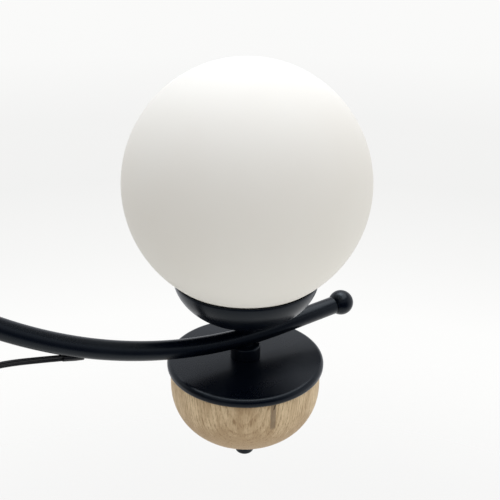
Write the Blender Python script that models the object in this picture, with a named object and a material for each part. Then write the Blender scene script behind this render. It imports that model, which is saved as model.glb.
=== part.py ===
"""Three-arm chandelier with opal globes, black steel cups and plates, and turned oak bowls.

Metres, +Z up. The origin is the centre of the ceiling bracket's top face.
Three lamp units hang on curved steel arms around a central column.
Each unit stands on its plate, whose top face is the unit's datum, height zero.
"""

import math

import bmesh
import bpy
from mathutils import Matrix, Vector

# Whole object
ARM_COUNT = 3
FIRST_ARM_ANGLE = math.radians(30.0)
PLATE_DROP = 0.500
UNIT_REACH = 0.290
FIT_GAP = 0.0003
CUT_OVERRUN = 0.002
MERGE_DISTANCE = 0.00001
SMOOTH_ANGLE = math.radians(32.0)
LARGE_SEGMENTS = 24
MEDIUM_SEGMENTS = 16
SMALL_SEGMENTS = 12
ROD_SEGMENTS = 8
NUT_POINTS = 12

# Lamp unit, below the arm
PLATE_DIAMETER = 0.104
PLATE_THICKNESS = 0.0062
PLATE_EDGE_RADIUS = 0.0030
PLATE_UNDER_RADIUS = 0.0020
BOWL_DIAMETER = 0.100
BOWL_SIDE_HEIGHT = 0.0117
BOWL_ROUND_DEPTH = 0.041
BOWL_SQUARENESS_SHARE = 2.26
CAP_NUT_DIAMETER = 0.013
CAP_NUT_LENGTH = 0.0190
CAP_NUT_DOME_SHARE = 0.15
CAP_NUT_BORE_DEPTH = 0.009
STEM_DIAMETER = 0.0198
STEM_HEIGHT = 0.0077
STEM_EDGE_RADIUS = 0.0016
SADDLE_DEPTH = 0.0012

# Threaded rods, hollow for the wires
ROD_DIAMETER = 0.008
ROD_BORE_DIAMETER = 0.005
ROD_END_IN_LAMPHOLDER = 0.006

# Lamp unit, above the arm
NECK_DIAMETER = 0.0141
NECK_HEIGHT = 0.010
CUP_DIAMETER = 0.0924
CUP_WALL = 0.0012
CUP_FLAT_DIAMETER = 0.034
CUP_SQUARENESS_SHARE = 1.7
LOCK_NUT_WIDTH = 0.014
LOCK_NUT_HEIGHT = 0.003
LAMPHOLDER_DIAMETER = 0.022
LAMPHOLDER_HEIGHT = 0.022
LAMPHOLDER_EDGE = 0.0012
PIN_SPACING = 0.009
PIN_DIAMETER = 0.0016
PIN_LENGTH = 0.009
PIN_CLEARANCE = 0.0004
BULB_DIAMETER = 0.016
BULB_LENGTH = 0.044
BULB_BASE_HEIGHT = 0.012
BULB_BASE_DIAMETER = 0.0145
GLOBE_DIAMETER = 0.150
GLOBE_WALL = 0.003
GLOBE_NECK_DIAMETER = 0.040
GLOBE_NECK_LENGTH = 0.0085
GLOBE_NECK_WALL = 0.0028
GLOBE_NECK_CLEARANCE = 0.0057

# Arm
ARM_DIAMETER = 0.0122
ARM_WALL = 0.0013
ARM_BEND_RADIUS = 0.270
ARM_SHOULDER_RADIUS = 0.080
ARM_LEVEL_LENGTH = 0.0195
ARM_STRAIGHT_START = 0.027
ARM_TIP = 0.0703
ARM_HUB_ENGAGEMENT = 0.012
ARM_SIDES = 12
ARM_BEND_STEPS = 10
ARM_SHOULDER_STEPS = 4
FINIAL_DIAMETER = 0.0174
FINIAL_FLAT_DIAMETER = 0.0112
FINIAL_SPIGOT_LENGTH = 0.008
FINIAL_SPIGOT_CLEARANCE = 0.0005

# Cord from each arm to the junction sleeve
CORD_DIAMETER = 0.004
CORD_STEP = 0.0095
CORD_BUSH_DIAMETER = 0.0052
CORD_BUSH_BORE = 0.0034
CORD_BUSH_TAIL = 0.0004
CORD_BUSH_LENGTH = 0.0118
CORD_ROUTE = (
    (-0.1087, 0.03155),
    (-0.1215, 0.03365),
    (-0.1349, 0.03615),
    (-0.1480, 0.03830),
    (-0.1600, 0.03920),
    (-0.1740, 0.03890),
    (-0.1900, 0.03660),
    (-0.2070, 0.03290),
    (-0.2240, 0.02900),
    (-0.2400, 0.02620),
    (-0.2530, 0.02510),
    (-0.2620, 0.02500),
)

# Centre column
HUB_DIAMETER = 0.046
HUB_HEIGHT = 0.028
HUB_EDGE_RADIUS = 0.002
HUB_CAP_DIAMETER = 0.026
HUB_CAP_HEIGHT = 0.012
COLUMN_DIAMETER = 0.0198
COLUMN_WALL = 0.002
SLEEVE_DIAMETER = 0.036
SLEEVE_HEIGHT = 0.044
SLEEVE_WALL = 0.0015
SLEEVE_EDGE_RADIUS = 0.003
GLAND_DIAMETER = 0.007
GLAND_BORE_DIAMETER = 0.0034
GLAND_LENGTH = 0.011
CENTRE_ROD_HUB_ENGAGEMENT = 0.010

# Ceiling end
BRACKET_LENGTH = 0.096
BRACKET_WIDTH = 0.024
BRACKET_THICKNESS = 0.0025
BRACKET_SLOT_SPACING = 0.070
BRACKET_SLOT_LENGTH = 0.010
BRACKET_SLOT_WIDTH = 0.0048
WIRE_HOLE_DIAMETER = 0.009
WIRE_HOLE_OFFSET = 0.017
CANOPY_DIAMETER = 0.120
CANOPY_HEIGHT = 0.026
CANOPY_WALL = 0.0012
CANOPY_EDGE_RADIUS = 0.006
CANOPY_CEILING_GAP = 0.0008
COLLAR_DIAMETER = 0.022
COLLAR_HEIGHT = 0.011
DOWN_ROD_DIAMETER = 0.0122
DOWN_ROD_WALL = 0.0016
DOWN_ROD_HUB_ENGAGEMENT = 0.009
NIPPLE_LENGTH = 0.016
NIPPLE_ENGAGEMENT = 0.009
NIPPLE_CLEARANCE = 0.0004
TERMINAL_LENGTH = 0.022
TERMINAL_WIDTH = 0.013
TERMINAL_HEIGHT = 0.011
TERMINAL_OFFSET = 0.018
TERMINAL_EDGE = 0.0008
TERMINAL_HOLE_DIAMETER = 0.003
TERMINAL_HOLE_SPACING = 0.010

# Finishes as base colour, roughness and metallic value
BLACK_METAL = ((0.012, 0.013, 0.016), 0.42, 0.6)
OPAL_GLASS = ((0.80, 0.79, 0.76), 0.55, 0.0)
OAK = ((0.50, 0.36, 0.22), 0.62, 0.0)
ZINC_STEEL = ((0.55, 0.56, 0.57), 0.35, 1.0)
CERAMIC = ((0.78, 0.76, 0.71), 0.45, 0.0)
BULB_GLASS = ((0.90, 0.89, 0.84), 0.25, 0.0)
BLACK_PVC = ((0.015, 0.015, 0.016), 0.5, 0.0)
WHITE_PLASTIC = ((0.80, 0.80, 0.78), 0.4, 0.0)


def arm_axis_height():
    """Height of the arm's centreline where the unit's rod crosses it."""
    return STEM_HEIGHT + 2 * FIT_GAP + ARM_DIAMETER / 2


def seat_angle():
    """Bend angle taken up by the level stretch that sits on the stem."""
    return math.asin(STEM_DIAMETER / 2 / ARM_BEND_RADIUS)


def arm_bend_angle():
    """Steepest slope of the arm, at which its bend and shoulder span the way to the hub."""
    span = UNIT_REACH - HUB_DIAMETER / 2 - ARM_LEVEL_LENGTH
    return math.asin(span / (ARM_BEND_RADIUS + ARM_SHOULDER_RADIUS))


def bend_height(angle):
    """Height of the arm's main bend where its slope has reached an angle."""
    return arm_axis_height() + ARM_BEND_RADIUS * (math.cos(seat_angle()) - math.cos(angle))


def arm_end_height():
    """Height of the arm's level inner end, above the plates' top faces."""
    angle = arm_bend_angle()
    return bend_height(angle) + ARM_SHOULDER_RADIUS * (1 - math.cos(angle))


def cup_base_height():
    """Height of the cup's flat underside."""
    return arm_axis_height() + ARM_DIAMETER / 2 + NECK_HEIGHT + 2 * FIT_GAP


def globe_seat_rise():
    """Rise of the globe's centre above the cup's rim, in which its glass sits."""
    rim_radius = CUP_DIAMETER / 2 - CUP_WALL
    reach = GLOBE_DIAMETER / 2 + FIT_GAP
    return math.sqrt(reach ** 2 - rim_radius ** 2)


def cup_depth():
    """Depth of the cup, which holds the globe's neck clear of its floor."""
    neck_drop = math.sqrt(GLOBE_DIAMETER ** 2 - GLOBE_NECK_DIAMETER ** 2) / 2 + GLOBE_NECK_LENGTH
    return neck_drop - globe_seat_rise() + GLOBE_NECK_CLEARANCE + CUP_WALL


def cup_rim_height():
    """Height of the cup's rim."""
    return cup_base_height() + cup_depth()


def globe_centre_height():
    """Height of the globe's centre."""
    return cup_rim_height() + globe_seat_rise()


def lampholder_base_height():
    """Height of the lampholder's underside, on the lock nut in the cup."""
    return cup_base_height() + CUP_WALL + LOCK_NUT_HEIGHT + 2 * FIT_GAP


def bowl_bottom():
    """Depth of the oak bowl's lowest point below the plate's top face."""
    return PLATE_THICKNESS + FIT_GAP + BOWL_SIDE_HEIGHT + BOWL_ROUND_DEPTH


def rod_hole_radius():
    """Radius of every hole that a threaded rod passes through."""
    return ROD_DIAMETER / 2 + FIT_GAP


def new_material(name, finish):
    """Make the Principled material of one node."""
    colour, roughness, metallic = finish
    material = bpy.data.materials.new(name)
    material.use_nodes = True
    shader = material.node_tree.nodes["Principled BSDF"]
    shader.inputs["Base Color"].default_value = (*colour, 1.0)
    shader.inputs["Roughness"].default_value = roughness
    shader.inputs["Metallic"].default_value = metallic
    material.diffuse_color = (*colour, 1.0)
    return material


def add_object(name, data, finish, parent, place):
    """Link an object with its own material at a place under its parent."""
    data.materials.clear()
    data.materials.append(new_material(name + "_finish", finish))
    piece = bpy.data.objects.new(name, data)
    bpy.context.collection.objects.link(piece)
    piece.parent = parent
    piece.location = place
    return piece


def add_empty(name, parent, place, turn):
    """Add an empty that carries a group of pieces."""
    empty = bpy.data.objects.new(name, None)
    empty.empty_display_size = HUB_DIAMETER
    empty.parent = parent
    empty.location = place
    empty.rotation_euler = (0, 0, turn)
    bpy.context.collection.objects.link(empty)
    return empty


def shape(bm, smooth=True):
    """Turn a bmesh into a mesh with its faces pointing out."""
    bmesh.ops.remove_doubles(bm, verts=bm.verts, dist=MERGE_DISTANCE)
    bmesh.ops.recalc_face_normals(bm, faces=bm.faces)
    mesh = bpy.data.meshes.new("shape")
    bm.to_mesh(mesh)
    bm.free()
    if smooth:
        mesh.shade_smooth()
        mesh.set_sharp_from_angle(angle=SMOOTH_ANGLE)
    return mesh


def turned(profile, segments, closed=True):
    """Turn an outline of (radius, height) points about Z."""
    bm = bmesh.new()
    points = [bm.verts.new((radius, 0, height)) for radius, height in profile]
    edges = [bm.edges.new(pair) for pair in zip(points, points[1:])]
    if closed:
        edges.append(bm.edges.new((points[-1], points[0])))
    bmesh.ops.spin(
        bm,
        geom=points + edges,
        cent=(0, 0, 0),
        axis=(0, 0, 1),
        dvec=(0, 0, 0),
        angle=math.tau,
        steps=segments,
        use_merge=True,
        use_duplicate=False,
    )
    return shape(bm)


def arc(centre_radius, centre_height, reach, rise, start, end, steps):
    """Points of an elliptical arc, from the start to the end angle."""
    points = []
    for step in range(steps + 1):
        angle = start + (end - start) * step / steps
        points.append((centre_radius + reach * math.cos(angle), centre_height + rise * math.sin(angle)))
    return points


def squarish_arc(inner_radius, level, reach, depth, squareness, steps):
    """Points of a superellipse quarter, from its widest point down to its flat."""
    power = 2 / squareness
    points = []
    for step in range(steps + 1):
        angle = math.pi / 2 * step / steps
        across = reach * max(math.cos(angle), 0) ** power
        points.append((inner_radius + across, level - depth * math.sin(angle) ** power))
    return points


def rounded_disc(radius, bottom, top, bore_radius, top_edge, bottom_edge, steps=2):
    """Outline of a bored disc or tube, its outer edges rounded where their radius isn't zero."""
    outline = [(bore_radius, top)]
    if top_edge > 0:
        outline += arc(radius - top_edge, top - top_edge, top_edge, top_edge, math.pi / 2, 0, steps)
    else:
        outline.append((radius, top))
    if bottom_edge > 0:
        outline += arc(
            radius - bottom_edge, bottom + bottom_edge, bottom_edge, bottom_edge, 0, -math.pi / 2, steps
        )
    else:
        outline.append((radius, bottom))
    outline.append((bore_radius, bottom))
    return outline


def plain_tube(radius, bore_radius, bottom, top):
    """Outline of a plain bored cylinder."""
    return [(bore_radius, top), (radius, top), (radius, bottom), (bore_radius, bottom)]


def cylinder(radius, start, end, segments, along=(0, 0, 1)):
    """Closed cylinder between two distances along a direction from the origin."""
    bm = bmesh.new()
    turn = Vector((0, 0, 1)).rotation_difference(Vector(along)).to_matrix().to_4x4()
    middle = Matrix.Translation((0, 0, (start + end) / 2))
    bmesh.ops.create_cone(
        bm,
        cap_ends=True,
        segments=segments,
        radius1=radius,
        radius2=radius,
        depth=abs(end - start),
        matrix=turn @ middle,
    )
    return shape(bm)


def box(low, high):
    """Closed box between two corners."""
    bm = bmesh.new()
    low = Vector(low)
    high = Vector(high)
    size = Matrix.Diagonal((*(high - low), 1))
    bmesh.ops.create_cube(bm, size=1, matrix=Matrix.Translation((low + high) / 2) @ size)
    return shape(bm, smooth=False)


def add_cutter(name, mesh, parent, place):
    """Add a hidden piece that a Boolean reads."""
    cutter = bpy.data.objects.new(name, mesh)
    bpy.context.collection.objects.link(cutter)
    cutter.parent = parent
    cutter.location = place
    cutter.hide_render = True
    cutter.display_type = "WIRE"
    return cutter


def combine(piece, other, operation):
    """Cut or join a piece with another by an exact Boolean."""
    modifier = piece.modifiers.new(other.name, "BOOLEAN")
    modifier.operation = operation
    modifier.solver = "EXACT"
    modifier.object = other


def arm_path():
    """Centreline of the arm as (distance from the unit's axis, height) points.

    From the tip it runs straight and bends down to its level seat on the
    stem. Past the seat it bends up towards the hub, and a reverse bend
    brings it level again before it enters the hub.
    """
    bend = ARM_BEND_RADIUS
    steepest = arm_bend_angle()
    tangent = math.asin(ARM_STRAIGHT_START / bend)
    tip_height = bend_height(tangent) + (ARM_TIP - ARM_STRAIGHT_START) * math.tan(tangent)
    points = [(ARM_TIP, tip_height)]
    for angle in (tangent, (tangent + seat_angle()) / 2, seat_angle()):
        points.append((bend * math.sin(angle), bend_height(angle)))
    for step in range(ARM_BEND_STEPS + 1):
        angle = seat_angle() + (steepest - seat_angle()) * step / ARM_BEND_STEPS
        points.append((-bend * math.sin(angle), bend_height(angle)))
    shoulder = ARM_SHOULDER_RADIUS
    centre_distance = -(bend + shoulder) * math.sin(steepest)
    centre_height = arm_end_height() - shoulder
    for step in range(1, ARM_SHOULDER_STEPS + 1):
        angle = steepest * (1 - step / ARM_SHOULDER_STEPS)
        points.append((centre_distance + shoulder * math.sin(angle), centre_height + shoulder * math.cos(angle)))
    points.append((HUB_DIAMETER / 2 - ARM_HUB_ENGAGEMENT - UNIT_REACH, arm_end_height()))
    return points


def arm_tip_direction():
    """Unit vector along the arm's straight outer end, pointing outwards."""
    tangent = math.asin(ARM_STRAIGHT_START / ARM_BEND_RADIUS)
    return Vector((math.cos(tangent), 0, math.sin(tangent)))


def add_ring(bm, centre, across, radius, sides):
    """Ring of vertices about a point of a path that lies in the XZ plane."""
    ring = []
    for side in range(sides):
        angle = math.tau * (side + 0.5) / sides
        offset = across * math.cos(angle) + Vector((0, 1, 0)) * math.sin(angle)
        ring.append(bm.verts.new(centre + offset * radius))
    return ring


def skin(bm, rings, sides):
    """Join successive rings of vertices with quads."""
    for first, second in zip(rings, rings[1:]):
        for side in range(sides):
            after = (side + 1) % sides
            bm.faces.new((first[side], first[after], second[after], second[side]))


def swept_tube(path, radius, bore_radius, sides):
    """Hollow tube along a path of (x, z) points, open at both ends."""
    bm = bmesh.new()
    points = [Vector((x, 0, z)) for x, z in path]
    outer = []
    inner = []
    for index, point in enumerate(points):
        before = points[max(index - 1, 0)]
        after = points[min(index + 1, len(points) - 1)]
        direction = (after - before).normalized()
        across = Vector((-direction.z, 0, direction.x))
        outer.append(add_ring(bm, point, across, radius, sides))
        inner.append(add_ring(bm, point, across, bore_radius, sides))
    skin(bm, [inner[0], *outer, *reversed(inner)], sides)
    return shape(bm)


def bowl_mesh():
    """Turned oak bowl: straight side, squarish round bottom, bored through."""
    radius = BOWL_DIAMETER / 2
    top = -PLATE_THICKNESS - FIT_GAP
    side_end = top - BOWL_SIDE_HEIGHT
    outline = [(rod_hole_radius(), top), (radius, top)]
    outline += squarish_arc(0, side_end, radius, BOWL_ROUND_DEPTH, BOWL_SQUARENESS_SHARE, 6)[:-1]
    outline.append((CAP_NUT_DIAMETER / 2 + FIT_GAP, -bowl_bottom()))
    outline.append((rod_hole_radius(), -bowl_bottom()))
    return turned(outline, LARGE_SEGMENTS)


def plate_mesh():
    """Round steel plate with rounded edges, whose flat underside is as wide as the bowl."""
    outline = rounded_disc(
        PLATE_DIAMETER / 2,
        -PLATE_THICKNESS,
        0,
        rod_hole_radius(),
        PLATE_EDGE_RADIUS,
        PLATE_UNDER_RADIUS,
    )
    return turned(outline, LARGE_SEGMENTS)


def cap_nut_mesh():
    """Domed cap nut with a blind bore for the rod's end."""
    radius = CAP_NUT_DIAMETER / 2
    top = -bowl_bottom() - FIT_GAP
    dome = CAP_NUT_LENGTH * CAP_NUT_DOME_SHARE
    side_end = top - CAP_NUT_LENGTH + dome
    outline = [(0, top - CAP_NUT_BORE_DEPTH), (rod_hole_radius(), top - CAP_NUT_BORE_DEPTH)]
    outline += [(rod_hole_radius(), top), (radius, top)]
    outline += arc(0, side_end, radius, dome, 0, -math.pi / 2, 3)
    return turned(outline, SMALL_SEGMENTS, closed=False)


def rod_bottom():
    """Height of the lower end of the rods that pass through a bowl."""
    return FIT_GAP - bowl_bottom() - CAP_NUT_BORE_DEPTH


def unit_rod_mesh():
    """Hollow threaded rod that clamps the lamp unit together."""
    top = lampholder_base_height() + ROD_END_IN_LAMPHOLDER
    return turned(plain_tube(ROD_DIAMETER / 2, ROD_BORE_DIAMETER / 2, rod_bottom(), top), ROD_SEGMENTS)


def saddle_cutter(name, parent):
    """Bar of the arm's diameter with its clearance, across the unit's axis."""
    radius = ARM_DIAMETER / 2 + FIT_GAP
    reach = STEM_DIAMETER + NECK_DIAMETER
    mesh = cylinder(radius, -reach, reach, MEDIUM_SEGMENTS, along=(1, 0, 0))
    return add_cutter(name, mesh, parent, (UNIT_REACH, 0, arm_axis_height()))


def add_unit_base(number, parent):
    """Plate, bowl, cap nut, rod and stem of one lamp unit."""
    place = (UNIT_REACH, 0, 0)
    add_object(f"unit_plate_{number}", plate_mesh(), BLACK_METAL, parent, place)
    add_object(f"oak_bowl_{number}", bowl_mesh(), OAK, parent, place)
    add_object(f"cap_nut_{number}", cap_nut_mesh(), BLACK_METAL, parent, place)
    add_object(f"threaded_rod_{number}", unit_rod_mesh(), ZINC_STEEL, parent, place)
    stem_top = FIT_GAP + STEM_HEIGHT + SADDLE_DEPTH
    outline = rounded_disc(STEM_DIAMETER / 2, FIT_GAP, stem_top, rod_hole_radius(), STEM_EDGE_RADIUS, 0)
    stem = add_object(f"stem_{number}", turned(outline, MEDIUM_SEGMENTS), BLACK_METAL, parent, place)
    combine(stem, saddle_cutter(f"stem_saddle_{number}", parent), "DIFFERENCE")


def cup_mesh():
    """Spun steel cup with a flat, bored floor."""
    flat = CUP_FLAT_DIAMETER / 2
    radius = CUP_DIAMETER / 2
    rim = cup_rim_height()
    reach = radius - flat
    steps = 5
    outline = [(rod_hole_radius(), cup_base_height())]
    outline += reversed(squarish_arc(flat, rim, reach, cup_depth(), CUP_SQUARENESS_SHARE, steps))
    outline += squarish_arc(flat, rim, reach - CUP_WALL, cup_depth() - CUP_WALL, CUP_SQUARENESS_SHARE, steps)
    outline.append((rod_hole_radius(), cup_base_height() + CUP_WALL))
    return turned(outline, LARGE_SEGMENTS)


def globe_mesh():
    """Opal glass globe with a short open neck at the bottom."""
    radius = GLOBE_DIAMETER / 2
    neck = GLOBE_NECK_DIAMETER / 2
    centre = globe_centre_height()
    outer_start = -math.acos(neck / radius)
    outer = arc(0, centre, radius, radius, math.pi / 2, outer_start, 11)
    neck_end = outer[-1][1] - GLOBE_NECK_LENGTH
    inner_radius = radius - GLOBE_WALL
    inner_neck = neck - GLOBE_NECK_WALL
    inner_start = -math.acos(inner_neck / inner_radius)
    inner = arc(0, centre, inner_radius, inner_radius, inner_start, math.pi / 2, 6)
    outline = outer + [(neck, neck_end), (inner_neck, neck_end)] + inner
    return turned(outline, LARGE_SEGMENTS, closed=False)


def lock_nut_mesh():
    """Hexagonal lock nut with a round bore, on the cup's floor."""
    bottom = cup_base_height() + CUP_WALL + FIT_GAP
    top = bottom + LOCK_NUT_HEIGHT
    corner = LOCK_NUT_WIDTH / math.sqrt(3)
    bm = bmesh.new()
    rings = []
    for round_bore, height in ((True, top), (False, top), (False, bottom), (True, bottom), (True, top)):
        ring = []
        for index in range(NUT_POINTS):
            angle = math.tau * index / NUT_POINTS
            radius = corner if index % 2 == 0 else LOCK_NUT_WIDTH / 2
            if round_bore:
                radius = rod_hole_radius()
            ring.append(bm.verts.new((radius * math.cos(angle), radius * math.sin(angle), height)))
        rings.append(ring)
    skin(bm, rings, NUT_POINTS)
    return shape(bm, smooth=False)


def pin_cutters(number, parent, base):
    """Pair of holes that take the bulb's pins."""
    cutters = []
    for side, sign in (("left", -1), ("right", 1)):
        radius = PIN_DIAMETER / 2 + PIN_CLEARANCE
        mesh = cylinder(radius, -PIN_LENGTH - PIN_CLEARANCE, CUT_OVERRUN, SMALL_SEGMENTS // 2)
        place = (UNIT_REACH, sign * PIN_SPACING / 2, base)
        cutters.append(add_cutter(f"pin_hole_{side}_{number}", mesh, parent, place))
    return cutters


def lampholder_top():
    """Height of the lampholder's top face."""
    return lampholder_base_height() + LAMPHOLDER_HEIGHT


def lampholder_mesh():
    """Ceramic lampholder with a blind bore below for the rod."""
    radius = LAMPHOLDER_DIAMETER / 2
    base = lampholder_base_height()
    bore_end = base + ROD_END_IN_LAMPHOLDER + FIT_GAP
    edge = LAMPHOLDER_EDGE
    outline = [(0, lampholder_top()), (radius - edge, lampholder_top()), (radius, lampholder_top() - edge)]
    outline += [(radius, base), (rod_hole_radius(), base), (rod_hole_radius(), bore_end), (0, bore_end)]
    return turned(outline, SMALL_SEGMENTS, closed=False)


def bulb_mesh():
    """Capsule bulb on a moulded base, standing on its own origin."""
    base = BULB_BASE_DIAMETER / 2
    radius = BULB_DIAMETER / 2
    outline = [(0, 0), (base, 0), (base, BULB_BASE_HEIGHT), (radius, BULB_BASE_HEIGHT)]
    outline += arc(0, BULB_LENGTH - radius, radius, radius, 0, math.pi / 2, 3)
    return turned(outline, SMALL_SEGMENTS, closed=False)


def add_unit_top(number, parent):
    """Neck, cup, lock nut, lampholder, bulb and globe of one lamp unit."""
    place = (UNIT_REACH, 0, 0)
    neck_seat = arm_axis_height() + ARM_DIAMETER / 2 + FIT_GAP
    outline = plain_tube(NECK_DIAMETER / 2, rod_hole_radius(), neck_seat - SADDLE_DEPTH, neck_seat + NECK_HEIGHT)
    neck = add_object(f"neck_{number}", turned(outline, MEDIUM_SEGMENTS), BLACK_METAL, parent, place)
    combine(neck, saddle_cutter(f"neck_saddle_{number}", parent), "DIFFERENCE")
    add_object(f"cup_{number}", cup_mesh(), BLACK_METAL, parent, place)
    add_object(f"lock_nut_{number}", lock_nut_mesh(), ZINC_STEEL, parent, place)
    holder = add_object(f"lampholder_{number}", lampholder_mesh(), CERAMIC, parent, place)
    for cutter in pin_cutters(number, parent, lampholder_top()):
        combine(holder, cutter, "DIFFERENCE")
    bulb_place = (UNIT_REACH, 0, lampholder_top() + FIT_GAP)
    bulb = add_object(f"bulb_{number}", bulb_mesh(), BULB_GLASS, parent, bulb_place)
    for side, sign in (("left", -1), ("right", 1)):
        mesh = cylinder(PIN_DIAMETER / 2, -PIN_LENGTH + PIN_CLEARANCE, BULB_BASE_HEIGHT / 2, SMALL_SEGMENTS // 2)
        pin_place = (UNIT_REACH, sign * PIN_SPACING / 2, bulb_place[2])
        combine(bulb, add_cutter(f"bulb_pin_{side}_{number}", mesh, parent, pin_place), "UNION")
    add_object(f"globe_{number}", globe_mesh(), OPAL_GLASS, parent, place)


def cord_points():
    """Route of the cord under the arm, in the arm's own plane."""
    return [Vector((UNIT_REACH + distance, 0, height)) for distance, height in CORD_ROUTE]


def cord_start():
    """Place and direction of the cord where it leaves the arm."""
    points = cord_points()
    return points[0], (points[1] - points[0]).normalized()


def smooth_route(points, step):
    """Points at even steps along a smooth curve through the route."""
    dense = []
    padded = [2 * points[0] - points[1]] + points + [2 * points[-1] - points[-2]]
    parts = 12
    for before, start, end, after in zip(padded, padded[1:], padded[2:], padded[3:]):
        for part in range(parts):
            t = part / parts
            pull = (end - before) * (t - 2 * t ** 2 + t ** 3) / 2
            push = (after - start) * (t ** 3 - t ** 2) / 2
            blend = start * (1 - 3 * t ** 2 + 2 * t ** 3) + end * (3 * t ** 2 - 2 * t ** 3)
            dense.append(blend + pull + push)
    dense.append(points[-1])
    lengths = [0.0]
    for start, end in zip(dense, dense[1:]):
        lengths.append(lengths[-1] + (end - start).length)
    count = max(round(lengths[-1] / step), 2)
    route = []
    index = 0
    for number in range(count + 1):
        target = lengths[-1] * number / count
        while index < len(dense) - 2 and lengths[index + 1] < target:
            index += 1
        share = (target - lengths[index]) / (lengths[index + 1] - lengths[index])
        route.append(dense[index].lerp(dense[index + 1], min(share, 1.0)))
    return route


def add_cord(number, parent):
    """Strain-relief bush in the arm and the free cord to the junction sleeve."""
    start, direction = cord_start()
    outline = plain_tube(CORD_BUSH_DIAMETER / 2, CORD_BUSH_BORE / 2, -CORD_BUSH_TAIL, CORD_BUSH_LENGTH)
    bush = add_object(f"cord_bush_{number}", turned(outline, ROD_SEGMENTS), BLACK_PVC, parent, start)
    bush.rotation_mode = "QUATERNION"
    bush.rotation_quaternion = Vector((0, 0, 1)).rotation_difference(direction)
    route = cord_points()
    route[0] = start + direction * (CORD_BUSH_LENGTH + FIT_GAP)
    sleeve_face = SLEEVE_DIAMETER / 2 + GLAND_LENGTH - SLEEVE_WALL
    route[-1] = Vector((sleeve_face + FIT_GAP, 0, route[-1].z))
    route = [point for point in route if route[-1].x <= point.x <= route[0].x]
    points = smooth_route(route, CORD_STEP)
    curve = bpy.data.curves.new(f"cord_{number}", "CURVE")
    curve.dimensions = "3D"
    curve.bevel_depth = CORD_DIAMETER / 2
    curve.bevel_resolution = 2
    curve.use_fill_caps = True
    spline = curve.splines.new("POLY")
    spline.points.add(len(points) - 1)
    for target, point in zip(spline.points, points):
        target.co = (*point, 1.0)
    add_object(f"cord_{number}", curve, BLACK_PVC, parent, (0, 0, 0))


def finial_mesh():
    """Ball finial with a flat and a spigot for the arm's open end.

    The ball's centre is the mesh's origin and the spigot points to -Z.
    """
    radius = FINIAL_DIAMETER / 2
    flat = FINIAL_FLAT_DIAMETER / 2
    spigot = ARM_DIAMETER / 2 - ARM_WALL - FINIAL_SPIGOT_CLEARANCE
    flat_height = -math.sqrt(radius ** 2 - flat ** 2)
    outline = arc(0, 0, radius, radius, math.pi / 2, -math.acos(flat / radius), 6)
    outline += [(spigot, flat_height), (spigot, flat_height - FINIAL_SPIGOT_LENGTH)]
    outline.append((0, flat_height - FINIAL_SPIGOT_LENGTH))
    return turned(outline, SMALL_SEGMENTS, closed=False)


def add_arm(number, parent):
    """Curved arm, drilled for the rod and slotted for the cord, and its finial."""
    path = [(UNIT_REACH + distance, height) for distance, height in arm_path()]
    bore = ARM_DIAMETER / 2 - ARM_WALL
    mesh = swept_tube(path, ARM_DIAMETER / 2, bore, ARM_SIDES)
    arm = add_object(f"arm_{number}", mesh, BLACK_METAL, parent, (0, 0, 0))
    drill = cylinder(rod_hole_radius(), -ARM_DIAMETER, ARM_DIAMETER, SMALL_SEGMENTS)
    place = (UNIT_REACH, 0, arm_axis_height())
    combine(arm, add_cutter(f"rod_drill_{number}", drill, parent, place), "DIFFERENCE")
    start, direction = cord_start()
    slot_end = CORD_BUSH_LENGTH + ARM_DIAMETER
    slot_radius = CORD_BUSH_DIAMETER / 2 + FIT_GAP
    slot = cylinder(slot_radius, -CORD_BUSH_TAIL - FIT_GAP, slot_end, SMALL_SEGMENTS, along=direction)
    combine(arm, add_cutter(f"cord_slot_{number}", slot, parent, start), "DIFFERENCE")
    outward = arm_tip_direction()
    flat_depth = math.sqrt(FINIAL_DIAMETER ** 2 - FINIAL_FLAT_DIAMETER ** 2) / 2
    tip = Vector((path[0][0], 0, path[0][1]))
    centre = tip + outward * (flat_depth + FIT_GAP)
    finial = add_object(f"finial_{number}", finial_mesh(), BLACK_METAL, parent, centre)
    finial.rotation_mode = "QUATERNION"
    finial.rotation_quaternion = Vector((0, 0, 1)).rotation_difference(outward)


def hub_top():
    """Height of the hub's top face, above the plates' top faces."""
    return arm_end_height() + HUB_HEIGHT / 2


def hub_bottom():
    """Height of the hub's underside."""
    return arm_end_height() - HUB_HEIGHT / 2


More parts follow.
